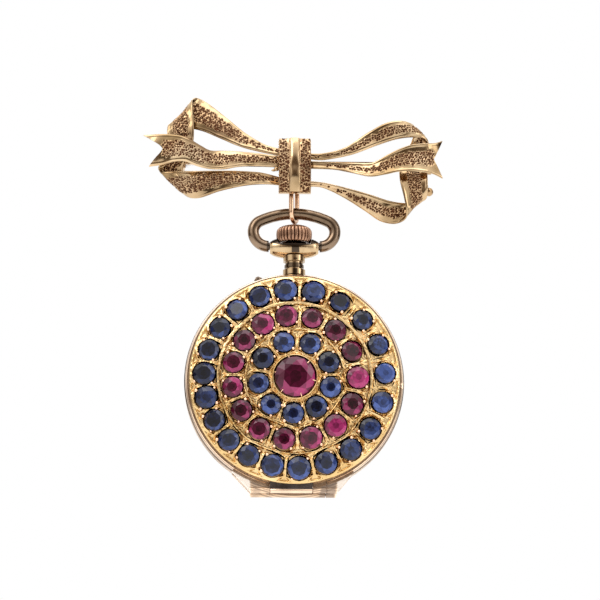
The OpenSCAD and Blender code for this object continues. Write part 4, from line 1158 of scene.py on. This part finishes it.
def flat_ring(inner, outer, count=180):
    back = PRINT_Y - PRINT_THICK
    section = ((inner, PRINT_Y), (outer, PRINT_Y), (outer, back), (inner, back))
    verts = [(r * math.sin(a), y, r * math.cos(a)) for r, y in section for a in angles(count)]
    return verts, bands(4, count, wrap=True)


def turned(part, degrees):
    """A part turned about the dial's axis."""
    verts, faces = part
    c, s = math.cos(math.radians(degrees)), math.sin(math.radians(degrees))
    return [(x * c + z * s, y, -x * s + z * c) for x, y, z in verts], faces


def minute_track():
    parts = [flat_ring(10.52, 10.58), flat_ring(10.12, 10.17)]
    for i in range(60):
        half = 0.075 if i % 5 == 0 else 0.035
        tick = box((-half, PRINT_Y - PRINT_THICK, 10.15), (half, PRINT_Y, 10.55))
        parts.append(turned(tick, 6 * i))
    parts += [turned(box((-0.17, -1.99, 8.98), (0.17, -1.91, 10.22)), 30 * i) for i in range(12)]
    join_mesh("minute_track", parts, "dial_ink", "watch")


def numeral(hour):
    """An upright numeral that reads from +Y."""
    a = math.radians(30 * hour)
    text = bpy.data.curves.new("numeral", "FONT")
    text.body = str(hour)
    text.size = NUMERAL_SIZE
    text.extrude = 0.012
    text.align_x, text.align_y = "CENTER", "CENTER"
    holder = add_object("numeral_tmp", text)
    depsgraph = bpy.context.evaluated_depsgraph_get()
    mesh = bpy.data.meshes.new_from_object(holder.evaluated_get(depsgraph))
    bpy.data.objects.remove(holder)
    place = Matrix(((-1, 0, 0, -NUMERAL_R * math.sin(a)), (0, 0, 1, -1.965),
                    (0, 1, 0, NUMERAL_R * math.cos(a) - 0.02), (0, 0, 0, 1)))
    for v in mesh.vertices:
        v.co = (place @ v.co) * MM
    obj = add_object("numeral_%02d" % hour, mesh)
    assign(obj, "dial_ink")
    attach(obj, "watch")


minute_track()
for hour in range(1, 13):
    numeral(hour)

# trace of solder where the left tail meets the loop
join_mesh("solder_bead", [
    ellipsoid((-2.25, -5.95, 26.75), 0.34, stretch=(1.0, 0.6, 0.8), count=20, steps=12),
    ellipsoid((-2.6, -5.85, 26.6), 0.22, stretch=(1.3, 0.6, 0.7), count=20, steps=12)],
    "gold_polished", "brooch", angle=80)


# ---------------------------------------------------------------- materials on the CAD pieces
PIECES = {
    "gold_polished": "bow_knot brooch_bar pin_hinge_bracket catch_block catch_sleeve "
                     "minute_hand hour_hand",
    "steel_bright": "pin_hinge_rivet pin_stem regulator winding_stem ratchet_wheel crown_wheel",
    "hook_gold": "hanger_hook",
    "bow_antique": "bail setting_pin",
    "gold_pendant": "pendant",
    "gold_case": "case_middle rear_hinge_pin front_hinge_pin cuvette bezel",
    "dial_enamel": "dial",
    "gilt_frosted": "mainplate barrel_bridge train_bridge escape_cock balance_cock balance_wheel",
    "steel_blued": "movement_screws hairspring",
    "stone_red": "bridge_jewels",
    "watch_glass": "crystal",
}
look_of = {piece: look for look, pieces in PIECES.items() for piece in pieces.split()}
for name, obj in frame["nodes"].items():
    gilt = any(word in name for word in ("wheel", "barrel", "plate", "bridge"))
    assign(obj, look_of.get(name, "gilt_frosted" if gilt else "steel_bright"))
    smooth(obj, 32)


# ---------------------------------------------------------------- floor, camera, light (metres)
def floor(half, z):
    g = Material("paper_floor")
    co = g.coords()
    color = g.mix(g.noise(co, scale=60, detail=4), (0.86, 0.86, 0.85), (0.90, 0.90, 0.895))
    height = g.noise(co, scale=800, detail=3)
    g.paint(Base_Color=color, Roughness=0.9, Normal=g.bump(height, strength=0.1, depth=0.05))
    mesh = bpy.data.meshes.new("floor")
    mesh.from_pydata([(-half, -half, z), (half, -half, z), (half, half, z), (-half, half, z)],
                     [], [[0, 1, 2, 3]])
    obj = add_object("floor", mesh)
    assign(obj, "paper_floor")


TARGET = Vector((0.73, -4.4, 10.4)) * MM


def aim(obj, azimuth, elevation, distance):
    """Stand off from the target, facing it; azimuth 0 is -Y and grows towards +X."""
    a, e = math.radians(azimuth), math.radians(elevation)
    away = Vector((math.sin(a) * math.cos(e), -math.cos(a) * math.cos(e), math.sin(e)))
    obj.location = TARGET + away * distance
    obj.rotation_mode = "QUATERNION"
    obj.rotation_quaternion = (-away).to_track_quat("-Z", "Y")


def camera():
    obj = add_object("camera", bpy.data.cameras.new("camera"))
    obj.data.lens, obj.data.sensor_width = 150, 36
    obj.data.clip_start, obj.data.clip_end = 0.005, 20
    aim(obj, azimuth=-2.0, elevation=-12.4, distance=0.3096)
    bpy.context.scene.camera = obj


def area(name, azimuth, elevation, distance, size, power, color=(1, 1, 1), size_y=None):
    light = bpy.data.lights.new(name, "AREA")
    light.energy = power
    light.color = color
    light.shape = "RECTANGLE"
    light.size, light.size_y = size, size_y or size
    aim(add_object(name, light), azimuth, elevation, distance)


floor(half=1.6, z=-0.11)
camera()
area("key_box", azimuth=-42, elevation=38, distance=0.5, size=0.26, power=0.62,
     color=(1, 0.985, 0.96))
area("top_box", azimuth=10, elevation=72, distance=0.45, size=0.34, power=0.7,
     color=(1, 0.99, 0.97))
area("right_box", azimuth=58, elevation=12, distance=0.5, size=0.16, power=0.42,
     color=(0.96, 0.98, 1), size_y=0.34)
area("rear_box", azimuth=180, elevation=35, distance=0.6, size=0.4, power=0.6)

# room by height, 0 straight down to 1 straight up: brown table, dark gap, pale overhead cloth
ROOM_UP = [(0.0, (0.30, 0.23, 0.17)), (0.22, (0.42, 0.34, 0.27)), (0.33, (0.14, 0.08, 0.05)),
           (0.42, (0.07, 0.04, 0.025)), (0.49, (0.42, 0.38, 0.34)), (0.60, (0.95, 0.93, 0.90)),
           (0.85, (1.25, 1.24, 1.22)), (1.0, (0.9, 0.9, 0.9))]
# room by turn, 0.5 at -Y, growing towards +X: pale side cards, dark gaps, dark front
DARK, DARKER = (0.12, 0.08, 0.06), (0.10, 0.07, 0.05)
ROOM_ROUND = [(0.0, grey(1.0)), (0.18, grey(0.9)), (0.235, DARK), (0.275, DARKER),
              (0.33, grey(1.15)), (0.41, grey(1.2)), (0.455, (0.35, 0.29, 0.24)),
              (0.50, (0.16, 0.12, 0.09)), (0.545, (0.30, 0.25, 0.21)), (0.585, grey(1.0)),
              (0.66, grey(0.95)), (0.71, DARK), (0.77, DARKER), (0.83, grey(0.9)),
              (1.0, grey(1.0))]
TURNS_PER_RADIAN = 0.159155


def world():
    """White to the camera; a studio room in reflections and light."""
    studio = bpy.data.worlds.new("studio")
    bpy.context.scene.world = studio
    studio.use_nodes = True
    g = Graph(studio.node_tree)
    output = g.node("ShaderNodeOutputWorld")
    x, y, z = g.split(g.node("ShaderNodeTexCoord").outputs["Generated"])
    height = g.add(g.mul(z, 0.5), 0.5)
    up = g.ramp(height, ROOM_UP)
    angle = g.math("ARCTAN2", x, g.mul(y, -1.0))
    side = g.ramp(g.add(g.mul(angle, TURNS_PER_RADIAN), 0.5), ROOM_ROUND)
    # overhead the side cards no longer matter
    overhead = g.rise(height, 0.62, 0.86)
    room = g.mix(overhead, g.mix(1.0, up, side, "MULTIPLY"), up)
    lit = g.node("ShaderNodeBackground", {"Color": room, "Strength": 1.25}).outputs[0]
    seen = g.node("ShaderNodeBackground", {"Color": (1, 1, 1, 1), "Strength": 1.0}).outputs[0]
    is_camera = g.node("ShaderNodeLightPath").outputs["Is Camera Ray"]
    mixed = g.node("ShaderNodeMixShader", {0: is_camera, 1: lit, 2: seen})
    g.fill(output, {0: mixed.outputs[0]})


world()
view = bpy.context.scene.view_settings
view.view_transform = "Standard"
view.look = "None"
view.exposure = 0.0
view.gamma = 1.0
